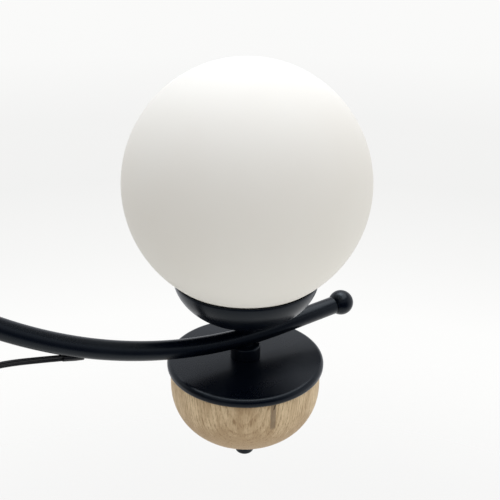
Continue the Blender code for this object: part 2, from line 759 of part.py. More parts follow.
def add_hub(parent):
    """Turned hub with a socket for each arm, and its cap."""
    rod_socket = DOWN_ROD_DIAMETER / 2 + FIT_GAP
    socket_floor = hub_top() - DOWN_ROD_HUB_ENGAGEMENT - FIT_GAP
    radius = HUB_DIAMETER / 2
    edge = HUB_EDGE_RADIUS
    outline = [(rod_socket, hub_top())]
    outline += arc(radius - edge, hub_top() - edge, edge, edge, math.pi / 2, 0, 2)
    outline += arc(radius - edge, hub_bottom() + edge, edge, edge, 0, -math.pi / 2, 2)
    outline += [(rod_hole_radius(), hub_bottom()), (rod_hole_radius(), socket_floor), (rod_socket, socket_floor)]
    hub = add_object("hub", turned(outline, MEDIUM_SEGMENTS), BLACK_METAL, parent, (0, 0, 0))
    socket_start = radius - ARM_HUB_ENGAGEMENT - FIT_GAP
    for index in range(ARM_COUNT):
        angle = FIRST_ARM_ANGLE + math.tau * index / ARM_COUNT
        along = (math.cos(angle), math.sin(angle), 0)
        mesh = cylinder(
            ARM_DIAMETER / 2 + FIT_GAP, socket_start, radius + CUT_OVERRUN, SMALL_SEGMENTS, along=along
        )
        cutter = add_cutter(f"arm_socket_{index + 1}", mesh, parent, (0, 0, arm_end_height()))
        combine(hub, cutter, "DIFFERENCE")
    cap_base = hub_top() + FIT_GAP
    outline = [(rod_socket, cap_base + HUB_CAP_HEIGHT)]
    outline += arc(rod_socket + CUP_WALL, cap_base, HUB_CAP_DIAMETER / 2 - rod_socket - CUP_WALL,
                   HUB_CAP_HEIGHT, math.pi / 2, 0, 3)
    outline.append((rod_socket, cap_base))
    add_object("hub_cap", turned(outline, MEDIUM_SEGMENTS), BLACK_METAL, parent, (0, 0, 0))


def sleeve_top():
    """Height of the junction sleeve's top face."""
    return FIT_GAP + SLEEVE_HEIGHT


def add_column(parent):
    """Column, junction sleeve, centre plate, bowl, cap nut and centre rod."""
    here = (0, 0, 0)
    tube = plain_tube(
        COLUMN_DIAMETER / 2, COLUMN_DIAMETER / 2 - COLUMN_WALL, sleeve_top() + FIT_GAP, hub_bottom() - FIT_GAP
    )
    add_object("column_tube", turned(tube, MEDIUM_SEGMENTS), BLACK_METAL, parent, here)
    radius = SLEEVE_DIAMETER / 2
    inner = radius - SLEEVE_WALL
    edge = SLEEVE_EDGE_RADIUS
    top = sleeve_top()
    outline = [(rod_hole_radius(), top)]
    outline += arc(radius - edge, top - edge, edge, edge, math.pi / 2, 0, 2)
    outline += [(radius, FIT_GAP), (inner, FIT_GAP), (inner, top - SLEEVE_WALL)]
    outline.append((rod_hole_radius(), top - SLEEVE_WALL))
    sleeve = add_object("junction_sleeve", turned(outline, MEDIUM_SEGMENTS), BLACK_METAL, parent, here)
    gland_height = CORD_ROUTE[-1][1]
    for index in range(ARM_COUNT):
        angle = FIRST_ARM_ANGLE + math.tau * index / ARM_COUNT
        along = Vector((math.cos(angle), math.sin(angle), 0))
        start = inner - CUT_OVERRUN
        end = inner + GLAND_LENGTH
        body = cylinder(GLAND_DIAMETER / 2, inner + SLEEVE_WALL / 2, end, SMALL_SEGMENTS, along=along)
        boss = add_cutter(f"gland_{index + 1}", body, parent, (0, 0, gland_height))
        combine(sleeve, boss, "UNION")
        hole = cylinder(GLAND_BORE_DIAMETER / 2, start, end + CUT_OVERRUN, SMALL_SEGMENTS // 2, along=along)
        cutter = add_cutter(f"gland_bore_{index + 1}", hole, parent, (0, 0, gland_height))
        combine(sleeve, cutter, "DIFFERENCE")
    add_object("centre_plate", plate_mesh(), BLACK_METAL, parent, here)
    add_object("centre_bowl", bowl_mesh(), OAK, parent, here)
    add_object("centre_cap_nut", cap_nut_mesh(), BLACK_METAL, parent, here)
    rod_top = hub_bottom() + CENTRE_ROD_HUB_ENGAGEMENT
    outline = plain_tube(ROD_DIAMETER / 2, ROD_BORE_DIAMETER / 2, rod_bottom(), rod_top)
    add_object("centre_rod", turned(outline, ROD_SEGMENTS), ZINC_STEEL, parent, here)


def down_rod_top():
    """Height of the down rod's top end, below the ceiling."""
    return -BRACKET_THICKNESS - NIPPLE_LENGTH + NIPPLE_ENGAGEMENT


def add_down_rod(parent):
    """Down rod from the ceiling nipple to the hub."""
    bottom = hub_top() - DOWN_ROD_HUB_ENGAGEMENT
    top = PLATE_DROP + down_rod_top()
    radius = DOWN_ROD_DIAMETER / 2
    outline = plain_tube(radius, radius - DOWN_ROD_WALL, bottom, top)
    add_object("down_rod", turned(outline, MEDIUM_SEGMENTS), BLACK_METAL, parent, (0, 0, 0))


def add_canopy(parent):
    """Canopy that hides the bracket, and the collar that holds it up."""
    radius = CANOPY_DIAMETER / 2
    top = -CANOPY_CEILING_GAP
    bottom = top - CANOPY_HEIGHT
    hole = DOWN_ROD_DIAMETER / 2 + FIT_GAP
    edge = CANOPY_EDGE_RADIUS
    inner_edge = edge - CANOPY_WALL
    outline = [(radius, top)]
    outline += arc(radius - edge, bottom + edge, edge, edge, 0, -math.pi / 2, 2)
    outline.append((hole, bottom))
    outline.append((hole, bottom + CANOPY_WALL))
    outline += arc(radius - edge, bottom + edge, inner_edge, inner_edge, -math.pi / 2, 0, 2)
    outline.append((radius - CANOPY_WALL, top))
    add_object("canopy", turned(outline, LARGE_SEGMENTS), BLACK_METAL, parent, (0, 0, 0))
    collar_top = bottom - FIT_GAP
    outline = rounded_disc(
        COLLAR_DIAMETER / 2, collar_top - COLLAR_HEIGHT, collar_top, hole, 0, HUB_EDGE_RADIUS
    )
    add_object("canopy_collar", turned(outline, MEDIUM_SEGMENTS), BLACK_METAL, parent, (0, 0, 0))


def add_ceiling_end():
    """Bracket, nipple and terminal block, which stay on the ceiling."""
    half = Vector((BRACKET_LENGTH / 2, BRACKET_WIDTH / 2, 0))
    mesh = box((-half.x, -half.y, -BRACKET_THICKNESS), half)
    bracket = add_object("ceiling_bracket", mesh, ZINC_STEEL, None, (0, 0, 0))
    reach = BRACKET_THICKNESS + CUT_OVERRUN
    slot_run = (BRACKET_SLOT_LENGTH - BRACKET_SLOT_WIDTH) / 2
    for side, sign in (("left", -1), ("right", 1)):
        bm = bmesh.new()
        bmesh.ops.create_cone(
            bm,
            cap_ends=True,
            segments=SMALL_SEGMENTS,
            radius1=BRACKET_SLOT_WIDTH / 2,
            radius2=BRACKET_SLOT_WIDTH / 2,
            depth=2 * reach,
        )
        for vertex in bm.verts:
            vertex.co.x += math.copysign(slot_run, vertex.co.x)
        place = (sign * BRACKET_SLOT_SPACING / 2, 0, 0)
        combine(bracket, add_cutter(f"screw_slot_{side}", shape(bm), None, place), "DIFFERENCE")
    wire_hole = cylinder(WIRE_HOLE_DIAMETER / 2, -reach, reach, SMALL_SEGMENTS)
    cutter = add_cutter("wire_hole", wire_hole, None, (WIRE_HOLE_OFFSET, 0, 0))
    combine(bracket, cutter, "DIFFERENCE")
    radius = DOWN_ROD_DIAMETER / 2 - DOWN_ROD_WALL - NIPPLE_CLEARANCE
    top = -BRACKET_THICKNESS - FIT_GAP
    flange = down_rod_top() + FIT_GAP
    outline = [(0, top), (DOWN_ROD_DIAMETER / 2, top), (DOWN_ROD_DIAMETER / 2, flange)]
    outline += [(radius, flange), (radius, -BRACKET_THICKNESS - NIPPLE_LENGTH)]
    outline.append((0, -BRACKET_THICKNESS - NIPPLE_LENGTH))
    add_object("ceiling_nipple", turned(outline, MEDIUM_SEGMENTS, closed=False), ZINC_STEEL, None, (0, 0, 0))
    half = Vector((TERMINAL_LENGTH / 2, TERMINAL_WIDTH / 2, 0))
    block_top = -BRACKET_THICKNESS - FIT_GAP
    mesh = box((-half.x, -half.y, block_top - TERMINAL_HEIGHT), (half.x, half.y, block_top))
    place = (-TERMINAL_OFFSET, 0, 0)
    block = add_object("terminal_block", mesh, WHITE_PLASTIC, None, place)
    bevel = block.modifiers.new("edge", "BEVEL")
    bevel.width = TERMINAL_EDGE
    bevel.segments = 1
    for side, sign in (("left", -1), ("right", 1)):
        hole = cylinder(
            TERMINAL_HOLE_DIAMETER / 2, -TERMINAL_WIDTH, TERMINAL_WIDTH, SMALL_SEGMENTS // 2, along=(0, 1, 0)
        )
        hole_place = (sign * TERMINAL_HOLE_SPACING / 2 - TERMINAL_OFFSET, 0, block_top - TERMINAL_HEIGHT / 2)
        combine(block, add_cutter(f"wire_entry_{side}", hole, None, hole_place), "DIFFERENCE")


def main():
    """Build the chandelier."""
    for old in list(bpy.data.objects):
        bpy.data.objects.remove(old, do_unlink=True)
    add_ceiling_end()
    swivel = add_empty("swivel", None, (0, 0, 0), 0)
    add_canopy(swivel)
    frame = add_empty("plate_level", swivel, (0, 0, -PLATE_DROP), 0)
    add_down_rod(frame)
    add_hub(frame)
    add_column(frame)
    for index in range(ARM_COUNT):
        angle = FIRST_ARM_ANGLE + math.tau * index / ARM_COUNT
        station = add_empty(f"arm_station_{index + 1}", frame, (0, 0, 0), angle)
        add_unit_base(index + 1, station)
        add_arm(index + 1, station)
        add_unit_top(index + 1, station)
        add_cord(index + 1, station)
    bpy.context.view_layer.update()


main()
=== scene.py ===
"""Looks of a three-arm chandelier: opal globes, black arms, cups and plates, and turned oak bowls.

Metres, +Z up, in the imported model's frame, whose origin is the ceiling bracket's top face.
A lamp unit is modelled at its own datum, with its plate's top face at height zero and its
arm pointing out along +X. Finished pieces are copied from there to each station.
"""

import logging
import math
from contextlib import contextmanager
from dataclasses import dataclass, field
from enum import Enum
from typing import Any, Callable, Iterator, Mapping, Sequence

import bmesh
import bpy
from mathutils import Matrix, Vector


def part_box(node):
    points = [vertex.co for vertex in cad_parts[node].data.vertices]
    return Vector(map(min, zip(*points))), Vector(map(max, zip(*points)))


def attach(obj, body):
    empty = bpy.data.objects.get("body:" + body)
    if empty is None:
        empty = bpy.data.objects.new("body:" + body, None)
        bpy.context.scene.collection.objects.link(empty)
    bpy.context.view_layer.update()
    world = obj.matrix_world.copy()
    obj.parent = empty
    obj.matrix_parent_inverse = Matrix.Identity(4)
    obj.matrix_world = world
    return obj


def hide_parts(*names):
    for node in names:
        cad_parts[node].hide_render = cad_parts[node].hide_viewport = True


LOG = logging.getLogger("chandelier")
UNIT_COUNT = 3
WIDE_STEPS = 144
ROUND_STEPS = 96
NARROW_STEPS = 72
SLIM_STEPS = 64
TUBE_STEPS = 48
SMALL_STEPS = 32
PIN_STEPS = 24
CORE_STEPS = 16
THREAD_STEPS = 16
THREAD_PITCH = 0.00125
MERGE_DISTANCE = 0.000002
SMOOTH_ANGLE = math.radians(30.0)
BEVEL_ANGLE = math.radians(60.0)
FACING = 0.99
SEAT_GAP = 0.0003
CUT_OVERRUN = 0.004
ROD_BORE = 0.0043
TUBE_RADIUS = 0.0061
TUBE_EDGE = 0.0003
HUB_RADIUS = 0.023
HUB_ENGAGEMENT = 0.012

Point = tuple[float, float]
Span = tuple[float, float]
Colour = tuple[float, float, float]
Corner = tuple[float, ...]

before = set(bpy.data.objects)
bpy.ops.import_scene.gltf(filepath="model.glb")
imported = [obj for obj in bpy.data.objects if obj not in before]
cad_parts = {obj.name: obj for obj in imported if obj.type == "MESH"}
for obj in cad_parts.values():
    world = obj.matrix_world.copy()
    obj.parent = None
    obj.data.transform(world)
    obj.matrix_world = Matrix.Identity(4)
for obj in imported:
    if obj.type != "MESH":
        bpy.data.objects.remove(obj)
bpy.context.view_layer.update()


class Slot(Enum):
    """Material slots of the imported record."""

    BLACK_METAL = "black_metal"
    OPAL_GLASS = "opal_glass"
    OAK = "oak"
    ZINC_STEEL = "zinc_steel"
    CERAMIC = "ceramic"
    BULB_GLASS = "bulb_glass"
    BLACK_PVC = "black_pvc"
    WHITE_PLASTIC = "white_plastic"


class Body(Enum):
    """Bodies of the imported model; a globe's and a capsule's take the unit's number."""

    CEILING = "ceiling_mount"
    FRAME = "arm_frame"
    CANOPY = "canopy_cover"
    GLOBE = "globe_shade_{}"
    CAPSULE = "capsule_{}"

    def of_unit(self, number: int) -> str:
        """Name of the body in one lamp unit."""
        return self.value.format(number)


class Wire:
    """A shader value, whose operators add Math nodes to its graph."""

    def __init__(self, graph: "Graph", socket: bpy.types.NodeSocket) -> None:
        """Wrap one output socket.

        Args:
            graph: The graph that owns the socket.
            socket: The output socket.
        """
        self.graph = graph
        self.socket = socket

    def maths(self, operation: str, *values: Any) -> "Wire":
        """Add a Math node that works on values, in their order.

        Args:
            operation: The Math node's operation.
            values: Wires or numbers.

        Returns:
            The node's result.
        """
        return self.graph.node("ShaderNodeMath", {"operation": operation}, dict(enumerate(values)))

    def __add__(self, other: Any) -> "Wire":
        """Sum with a wire or number."""
        return self.maths("ADD", self, other)

    def __radd__(self, other: Any) -> "Wire":
        """Sum with a number on the left."""
        return self.maths("ADD", other, self)

    def __sub__(self, other: Any) -> "Wire":
        """Difference from a wire or number."""
        return self.maths("SUBTRACT", self, other)

    def __rsub__(self, other: Any) -> "Wire":
        """Difference from a number on the left."""
        return self.maths("SUBTRACT", other, self)

    def __mul__(self, other: Any) -> "Wire":
        """Product with a wire or number."""
        return self.maths("MULTIPLY", self, other)

    def __truediv__(self, other: Any) -> "Wire":
        """Quotient by a wire or number."""
        return self.maths("DIVIDE", self, other)

    def __abs__(self) -> "Wire":
        """Absolute value."""
        return self.maths("ABSOLUTE", self)

    def part(self) -> "Wire":
        """Fraction above the next lower whole number."""
        return self.maths("FRACT", self)

    def clamped(self) -> "Wire":
        """Value held between 0 and 1."""
        return self.graph.node("ShaderNodeClamp", {}, {"Value": self})

    def ramp(self, start: float, end: float) -> "Wire":
        """Smooth step from 0 at the start value to 1 at the end value."""
        settings = {"interpolation_type": "SMOOTHSTEP"}
        return self.graph.node("ShaderNodeMapRange", settings, {0: self, 1: start, 2: end, 3: 0.0, 4: 1.0})

    def near(self, level: float, start: float, end: float) -> "Wire":
        """Mask that is 1 close to a level and fades from one distance to another."""
        return 1.0 - abs(self - level).ramp(start, end)


class Graph:
    """Nodes of one material or of the world."""

    def __init__(self, tree: bpy.types.NodeTree) -> None:
        """Take over a node tree.

        Args:
            tree: The node tree to add to.
        """
        self.tree = tree

    def feed(self, socket: bpy.types.NodeSocket, value: Any) -> None:
        """Link a wire to an input socket, or set the socket's own value."""
        if isinstance(value, Wire):
            self.tree.links.new(value.socket, socket)
        else:
            socket.default_value = value

    def node(
        self,
        kind: str,
        settings: Mapping[str, Any] | None = None,
        inputs: Mapping[Any, Any] | None = None,
        output: int | str = 0,
    ) -> Wire:
        """Add a node, its settings first and then its inputs.

        Args:
            kind: The node's type.
            settings: Its properties; "stops" are a colour ramp's positions and colours.
            inputs: Values or wires by the socket's name or place.
            output: Name or place of the output that is wanted.

        Returns:
            That output.
        """
        made = self.tree.nodes.new(kind)
        for key, value in (settings or {}).items():
            if key == "stops":
                self.set_stops(made.color_ramp, value)
            else:
                setattr(made, key, value)
        for key, value in (inputs or {}).items():
            self.feed(made.inputs[key], value)
        return Wire(self, made.outputs[output])

    @staticmethod
    def set_stops(ramp: bpy.types.ColorRamp, stops: Sequence[tuple[float, Colour]]) -> None:
        """Give a colour ramp its stops, in rising order."""
        while len(ramp.elements) < len(stops):
            ramp.elements.new(1.0)
        for element, (position, colour) in zip(ramp.elements, stops):
            element.position = position
            element.color = (*colour, 1.0)

    def coordinates(self, centre: Sequence[float] = (0, 0, 0), turn: Sequence[float] = (0, 0, 0)) -> Wire:
        """Object coordinates about a centre, in axes turned by Euler angles."""
        position = self.node("ShaderNodeTexCoord", output="Object")
        inputs = {"Vector": position, "Location": centre, "Rotation": turn}
        return self.node("ShaderNodeMapping", {"vector_type": "TEXTURE"}, inputs)

    def split(self, vector: Wire) -> tuple[Wire, Wire, Wire]:
        """Take a vector apart into its three values."""
        first = self.node("ShaderNodeSeparateXYZ", inputs={0: vector})
        outputs = first.socket.node.outputs
        return first, Wire(self, outputs[1]), Wire(self, outputs[2])

    def join(self, x: Any, y: Any, z: Any) -> Wire:
        """Put three values together as a vector."""
        return self.node("ShaderNodeCombineXYZ", inputs={0: x, 1: y, 2: z})

    def noise(self, vector: Wire, scale: float, detail: float = 2.0, roughness: float = 0.5) -> Wire:
        """Noise of about one feature per 1/scale metre, from 0 to 1."""
        inputs = {"Vector": vector, "Scale": scale, "Detail": detail, "Roughness": roughness}
        return self.node("ShaderNodeTexNoise", inputs=inputs)

    def mix(self, share: Any, first: Any, second: Any) -> Wire:
        """Blend two colours; a share of 1 gives the second."""
        colours = [value if isinstance(value, Wire) else (*value, 1.0) for value in (first, second)]
        inputs = {0: share, 6: colours[0], 7: colours[1]}
        return self.node("ShaderNodeMix", {"data_type": "RGBA"}, inputs, output=2)

    def bump(self, height: Wire, depth: float) -> Wire:
        """Normal of a surface that rises by a depth in metres where the height is 1."""
        return self.node("ShaderNodeBump", inputs={"Height": height, "Distance": depth, "Strength": 1.0})


def new_material(name: str) -> tuple[bpy.types.Material, Graph]:
    """Make a material with a Principled shader.

    Args:
        name: The material's name.

    Returns:
        The material and its graph.
    """
    material = bpy.data.materials.new(name)
    material.use_nodes = True
    return material, Graph(material.node_tree)


def set_shader(graph: Graph, **inputs: Any) -> None:
    """Set the Principled shader's inputs, whose names have _ for each space."""
    shader = graph.tree.nodes["Principled BSDF"]
    for name, value in inputs.items():
        if isinstance(value, tuple) and len(value) == 3:
            value = (*value, 1.0)
        graph.feed(shader.inputs[name.replace("_", " ")], value)


@dataclass(frozen=True)
class Finish:
    """A finish of two close colours in faint clouds, with a fine grain.

    A scale is in features per metre, a depth is in metres, a span is where a smooth step
    starts and ends, and the clouds' and the grain's roughness add to the finish's own.
    """

    name: str
    colour: Colour
    shade: Colour
    roughness: float
    grain_scale: float
    grain_depth: float
    grain_detail: float = 2.0
    grain_roughness: float = 0.05
    cloud_scale: float = 40.0
    cloud_detail: float = 4.0
    cloud_fineness: float = 0.6
    cloud_span: Span = (0.35, 0.7)
    cloud_share: float = 1.0
    cloud_roughness: float = 0.08
    metallic: float = 0.0
    specular: float = 0.5
    specular_tint: Colour = (1.0, 1.0, 1.0)
    transmission: float = 0.0

    def material(self) -> bpy.types.Material:
        """Build the finish's material."""
        material, graph = new_material(self.name)
        place = graph.coordinates()
        cloud = graph.noise(place, self.cloud_scale, self.cloud_detail, self.cloud_fineness)
        cloud = cloud.ramp(*self.cloud_span)
        grain = graph.noise(place, self.grain_scale, self.grain_detail)
        set_shader(
            graph,
            Base_Color=graph.mix(cloud * self.cloud_share, self.colour, self.shade),
            Metallic=self.metallic,
            Roughness=self.roughness + cloud * self.cloud_roughness + grain * self.grain_roughness,
            Normal=graph.bump(grain, self.grain_depth),
            Specular_IOR_Level=self.specular,
            Specular_Tint=self.specular_tint,
            Transmission_Weight=self.transmission,
        )
        return material


BLACK_COAT = Finish(
    name="satin_black_coat",
    colour=(0.0005, 0.0014, 0.0042),
    shade=(0.0018, 0.0030, 0.0058),
    roughness=0.26,
    grain_scale=900.0,
    grain_depth=0.000012,
    grain_roughness=0.03,
    cloud_scale=28.0,
    cloud_span=(0.42, 0.68),
    cloud_share=0.6,
    cloud_roughness=0.06,
    specular=0.24,
    specular_tint=(0.80, 0.91, 1.0),
)
OPAL = Finish(
    name="etched_opal_glass",
    colour=(0.86, 0.842, 0.80),
    shade=(0.845, 0.822, 0.775),
    roughness=0.62,
    grain_scale=2600.0,
    grain_depth=0.000004,
    grain_detail=1.0,
    grain_roughness=0.08,
    cloud_scale=14.0,
    cloud_detail=3.0,
    cloud_fineness=0.5,
    cloud_span=(0.3, 0.7),
    cloud_roughness=0.0,
    specular=0.12,
)
ZINC = Finish(
    name="bright_zinc",
    colour=(0.62, 0.63, 0.64),
    shade=(0.50, 0.50, 0.49),
    roughness=0.26,
    grain_scale=1400.0,
    grain_depth=0.000006,
    metallic=1.0,
)
STEATITE = Finish(
    name="glazed_steatite",
    colour=(0.80, 0.785, 0.74),
    shade=(0.75, 0.725, 0.665),
    roughness=0.30,
    grain_scale=1100.0,
    grain_depth=0.00001,
)
FROSTED = Finish(
    name="frosted_capsule",
    colour=(0.90, 0.895, 0.86),
    shade=(0.86, 0.85, 0.81),
    roughness=0.42,
    grain_scale=2200.0,
    grain_depth=0.000004,
    transmission=0.35,
)
SOFT_PVC = Finish(
    name="soft_black_sheath",
    colour=(0.002, 0.002, 0.003),
    shade=(0.004, 0.004, 0.005),
    roughness=0.30,
    grain_scale=900.0,
    grain_depth=0.00001,
    specular=0.36,
)
WHITE_MOULDED = Finish(
    name="white_moulding",
    colour=(0.80, 0.80, 0.775),
    shade=(0.76, 0.755, 0.73),
    roughness=0.38,
    grain_scale=1300.0,
    grain_depth=0.00001,
)


@dataclass(frozen=True)
class Oak:
    """Oiled oak: rings about a pith far in front, open pores along the upright grain.

    A scale is in features per metre, a stretch is how much of a feature's scale is left along
    the grain, a span is where a smooth step starts and ends, and a share is how much a
    feature adds to the brown.
    """

    name: str
    centre: tuple[float, float, float]
    turn: float
    tilt: float = math.radians(-7.0)
    pale: Colour = (0.80, 0.635, 0.41)
    brown: Colour = (0.48, 0.338, 0.192)
    pore: Colour = (0.27, 0.165, 0.082)
    mark: Colour = (0.21, 0.15, 0.095)
    crack: Colour = (0.02, 0.014, 0.01)
    pith_distance: float = 0.15983
    ring_width: float = 0.0017
    sway_scale: float = 20.0
    sway_reach: float = 0.0028
    ripple_scale: float = 150.0
    ripple_reach: float = 0.0004
    early_span: Span = (0.35, 1.0)
    early_start: float = 0.06
    early_share: float = 0.28
    pore_stretch: float = 0.06
    coarse_scale: float = 1150.0
    coarse_span: Span = (0.52, 0.70)
    fine_scale: float = 2600.0
    fine_span: Span = (0.53, 0.64)
    pore_detail: float = 2.0
    pore_fineness: float = 0.6
    late_pores: float = 0.4
    pore_cover: float = 0.8
    fibre_scale: float = 4200.0
    fibre_share: float = 0.15
    band_stretch: float = 0.16
    band_scale: float = 130.0
    band_detail: float = 3.0
    band_fineness: float = 0.6
    band_span: Span = (0.34, 0.62)
    band_share: float = 0.5
    streak_stretch: float = 0.18
    streak_scale: float = 650.0
    streak_fineness: float = 0.65
    streak_span: Span = (0.45, 0.65)
    streak_share: float = 0.22
    end_grain_span: Span = (0.022, 0.056)
    heart_offset: float = 0.001
    heart_span: Span = (0.004, 0.026)
    heart_share: float = 0.32
    front_fade: float = 0.01
    mark_offset: float = 0.0185
    mark_sway_scale: float = 90.0
    mark_sway: float = 0.0016
    mark_span: Span = (0.0013, 0.0019)
    mark_end: float = -0.0315
    mark_fade: float = 0.003
    mark_cover: float = 0.60
    mark_fibre: float = 0.35
    crack_level: float = -0.0142
    crack_slope: float = 0.3
    crack_width_span: Span = (0.0002, 0.0006)
    crack_height_span: Span = (0.0012, 0.0022)
    crack_cover: float = 0.9
    roughness: float = 0.56
    pore_roughness: float = 0.2
    fibre_roughness: float = 0.06
    pore_depth: float = 0.00006
    fibre_height: float = 0.15
    specular: float = 0.35

    def material(self) -> bpy.types.Material:
        """Build the wood's material."""
        material, graph = new_material(self.name)
        place = graph.coordinates(self.centre, (self.tilt, 0.0, self.turn))
        x, y, z = graph.split(place)
        sway = (graph.noise(place, self.sway_scale, 1.0) - 0.5) * self.sway_reach
        sway = sway + (graph.noise(place, self.ripple_scale, 1.0) - 0.5) * self.ripple_reach
        from_pith = graph.join(x, y + self.pith_distance, 0.0)
        reach = graph.node("ShaderNodeVectorMath", {"operation": "LENGTH"}, {0: from_pith}, output="Value")
        ring = ((reach + sway) / self.ring_width).part()
        early = (1.0 - ring).ramp(*self.early_span) * ring.ramp(0.0, self.early_start)
        along = graph.join(x, y, z * self.pore_stretch)
        coarse = graph.noise(along, self.coarse_scale, self.pore_detail, self.pore_fineness)
        fine = graph.noise(along, self.fine_scale, self.pore_detail, self.pore_fineness)
        pores = (fine.ramp(*self.fine_span) + coarse.ramp(*self.coarse_span)).clamped()
        pores = pores * (self.late_pores + early * (1.0 - self.late_pores))
        fibre = graph.noise(along, self.fibre_scale, 1.0)
        along = graph.join(x, y, z * self.band_stretch)
        bands = graph.noise(along, self.band_scale, self.band_detail, self.band_fineness)
        along = graph.join(x, y, z * self.streak_stretch)
        streaks = graph.noise(along, self.streak_scale, self.band_detail, self.streak_fineness)
        heart = x.near(self.heart_offset, *self.heart_span) * self.heart_share
        tone = bands.ramp(*self.band_span) * self.band_share + early * self.early_share
        tone = tone + streaks.ramp(*self.streak_span) * self.streak_share + fibre * self.fibre_share
        # Darker towards the bottom: lower down on the bowl the tone goes towards the brown.
        tone = (tone + (z * -1.0).ramp(*self.end_grain_span) + heart).clamped()
        wood = graph.mix(tone, self.pale, self.brown)
        front = (y * -1.0).ramp(0.0, self.front_fade)
        edge = x + graph.noise(place, self.mark_sway_scale) * self.mark_sway
        mark = edge.near(self.mark_offset, *self.mark_span) * front
        mark = mark * (z - self.mark_end).ramp(0.0, self.mark_fade)
        wood = graph.mix(mark * (self.mark_cover + fibre * self.mark_fibre), wood, self.mark)
        slanted = x - (z - self.crack_level) * self.crack_slope
        crack = slanted.near(self.mark_offset, *self.crack_width_span)
        crack = crack * z.near(self.crack_level, *self.crack_height_span)
        wood = graph.mix(crack * front * self.crack_cover, wood, self.crack)
        set_shader(
            graph,
            Base_Color=graph.mix(pores * self.pore_cover, wood, self.pore),
            Roughness=self.roughness + pores * self.pore_roughness + fibre * self.fibre_roughness,
            Normal=graph.bump(0.0 - pores - fibre * self.fibre_height, self.pore_depth),
            Specular_IOR_Level=self.specular,
        )
        return material


def rounded(corners: Sequence[Corner], steps: int = 5) -> list[Point]:
    """Outline through corners, with an arc at each one that has a fillet.

    Args:
        corners: Radius and height of each corner and, where it is rounded, its fillet.
        steps: Parts of each arc.

    Returns:
        Points of radius and height.
    """
    places = [Vector(corner[:2]) for corner in corners]
    points: list[Point] = []
    for index, here in enumerate(places):
        if len(corners[index]) == 2:
            points.append((here.x, here.y))
            continue
        fillet = corners[index][2]
        back = (places[index - 1] - here).normalized()
        ahead = (places[index + 1] - here).normalized()
        half = back.angle(ahead) / 2
        centre = here + (back + ahead).normalized() * fillet / math.sin(half)
        reach = fillet / math.tan(half)
        start = here + back * reach - centre
        end = here + ahead * reach - centre
        for step in range(steps + 1):
            point = centre + start.slerp(end, step / steps) * fillet
            points.append((point.x, point.y))
    return points


def closed(corners: Sequence[Corner], steps: int = 5) -> list[Point]:
    """Rounded outline that ends at its first corner, which has no fillet."""
    return rounded([*corners, corners[0]], steps)


def grooved(radius: float, level: float, groove: Sequence[Corner]) -> list[Corner]:
    """Corners of a groove in a side, from each one's depth, height above a level and fillet."""
    return [(radius - depth, level + height, fillet) for depth, height, fillet in groove]


def tube_outline(radius: float, bore: float, low: float, high: float) -> list[Point]:
    """Outline of a bored cylinder whose outer edges are rounded."""
    return closed([(bore, high), (radius, high, TUBE_EDGE), (radius, low, TUBE_EDGE), (bore, low)], 3)


def squarish_arc(
    flat: float, level: float, reach: float, depth: float, power: float, steps: int
) -> list[Point]:
    """Quarter of a superellipse, from its widest point at a level down to its flat.

    Args:
        flat: Radius at which the arc ends.
        level: Height of the widest point.
        reach: Width of the arc beyond the flat.
        depth: Height of the arc.
        power: The superellipse's exponent; 2 is an ellipse.
        steps: Parts of the arc.

    Returns:
        Points of radius and height.
    """
    points = []
    for step in range(steps + 1):
        angle = math.pi / 2 * step / steps
        across = reach * max(math.cos(angle), 0.0) ** (2 / power)
        points.append((flat + across, level - depth * math.sin(angle) ** (2 / power)))
    return points


def ball_arc(centre: float, radius: float, start: float, end: float, steps: int) -> list[Point]:
    """Arc of a ball's outline about a height on the axis, from one angle to another."""
    points = []
    for step in range(steps + 1):
        angle = start + (end - start) * step / steps
        points.append((radius * math.cos(angle), centre + radius * math.sin(angle)))
    return points


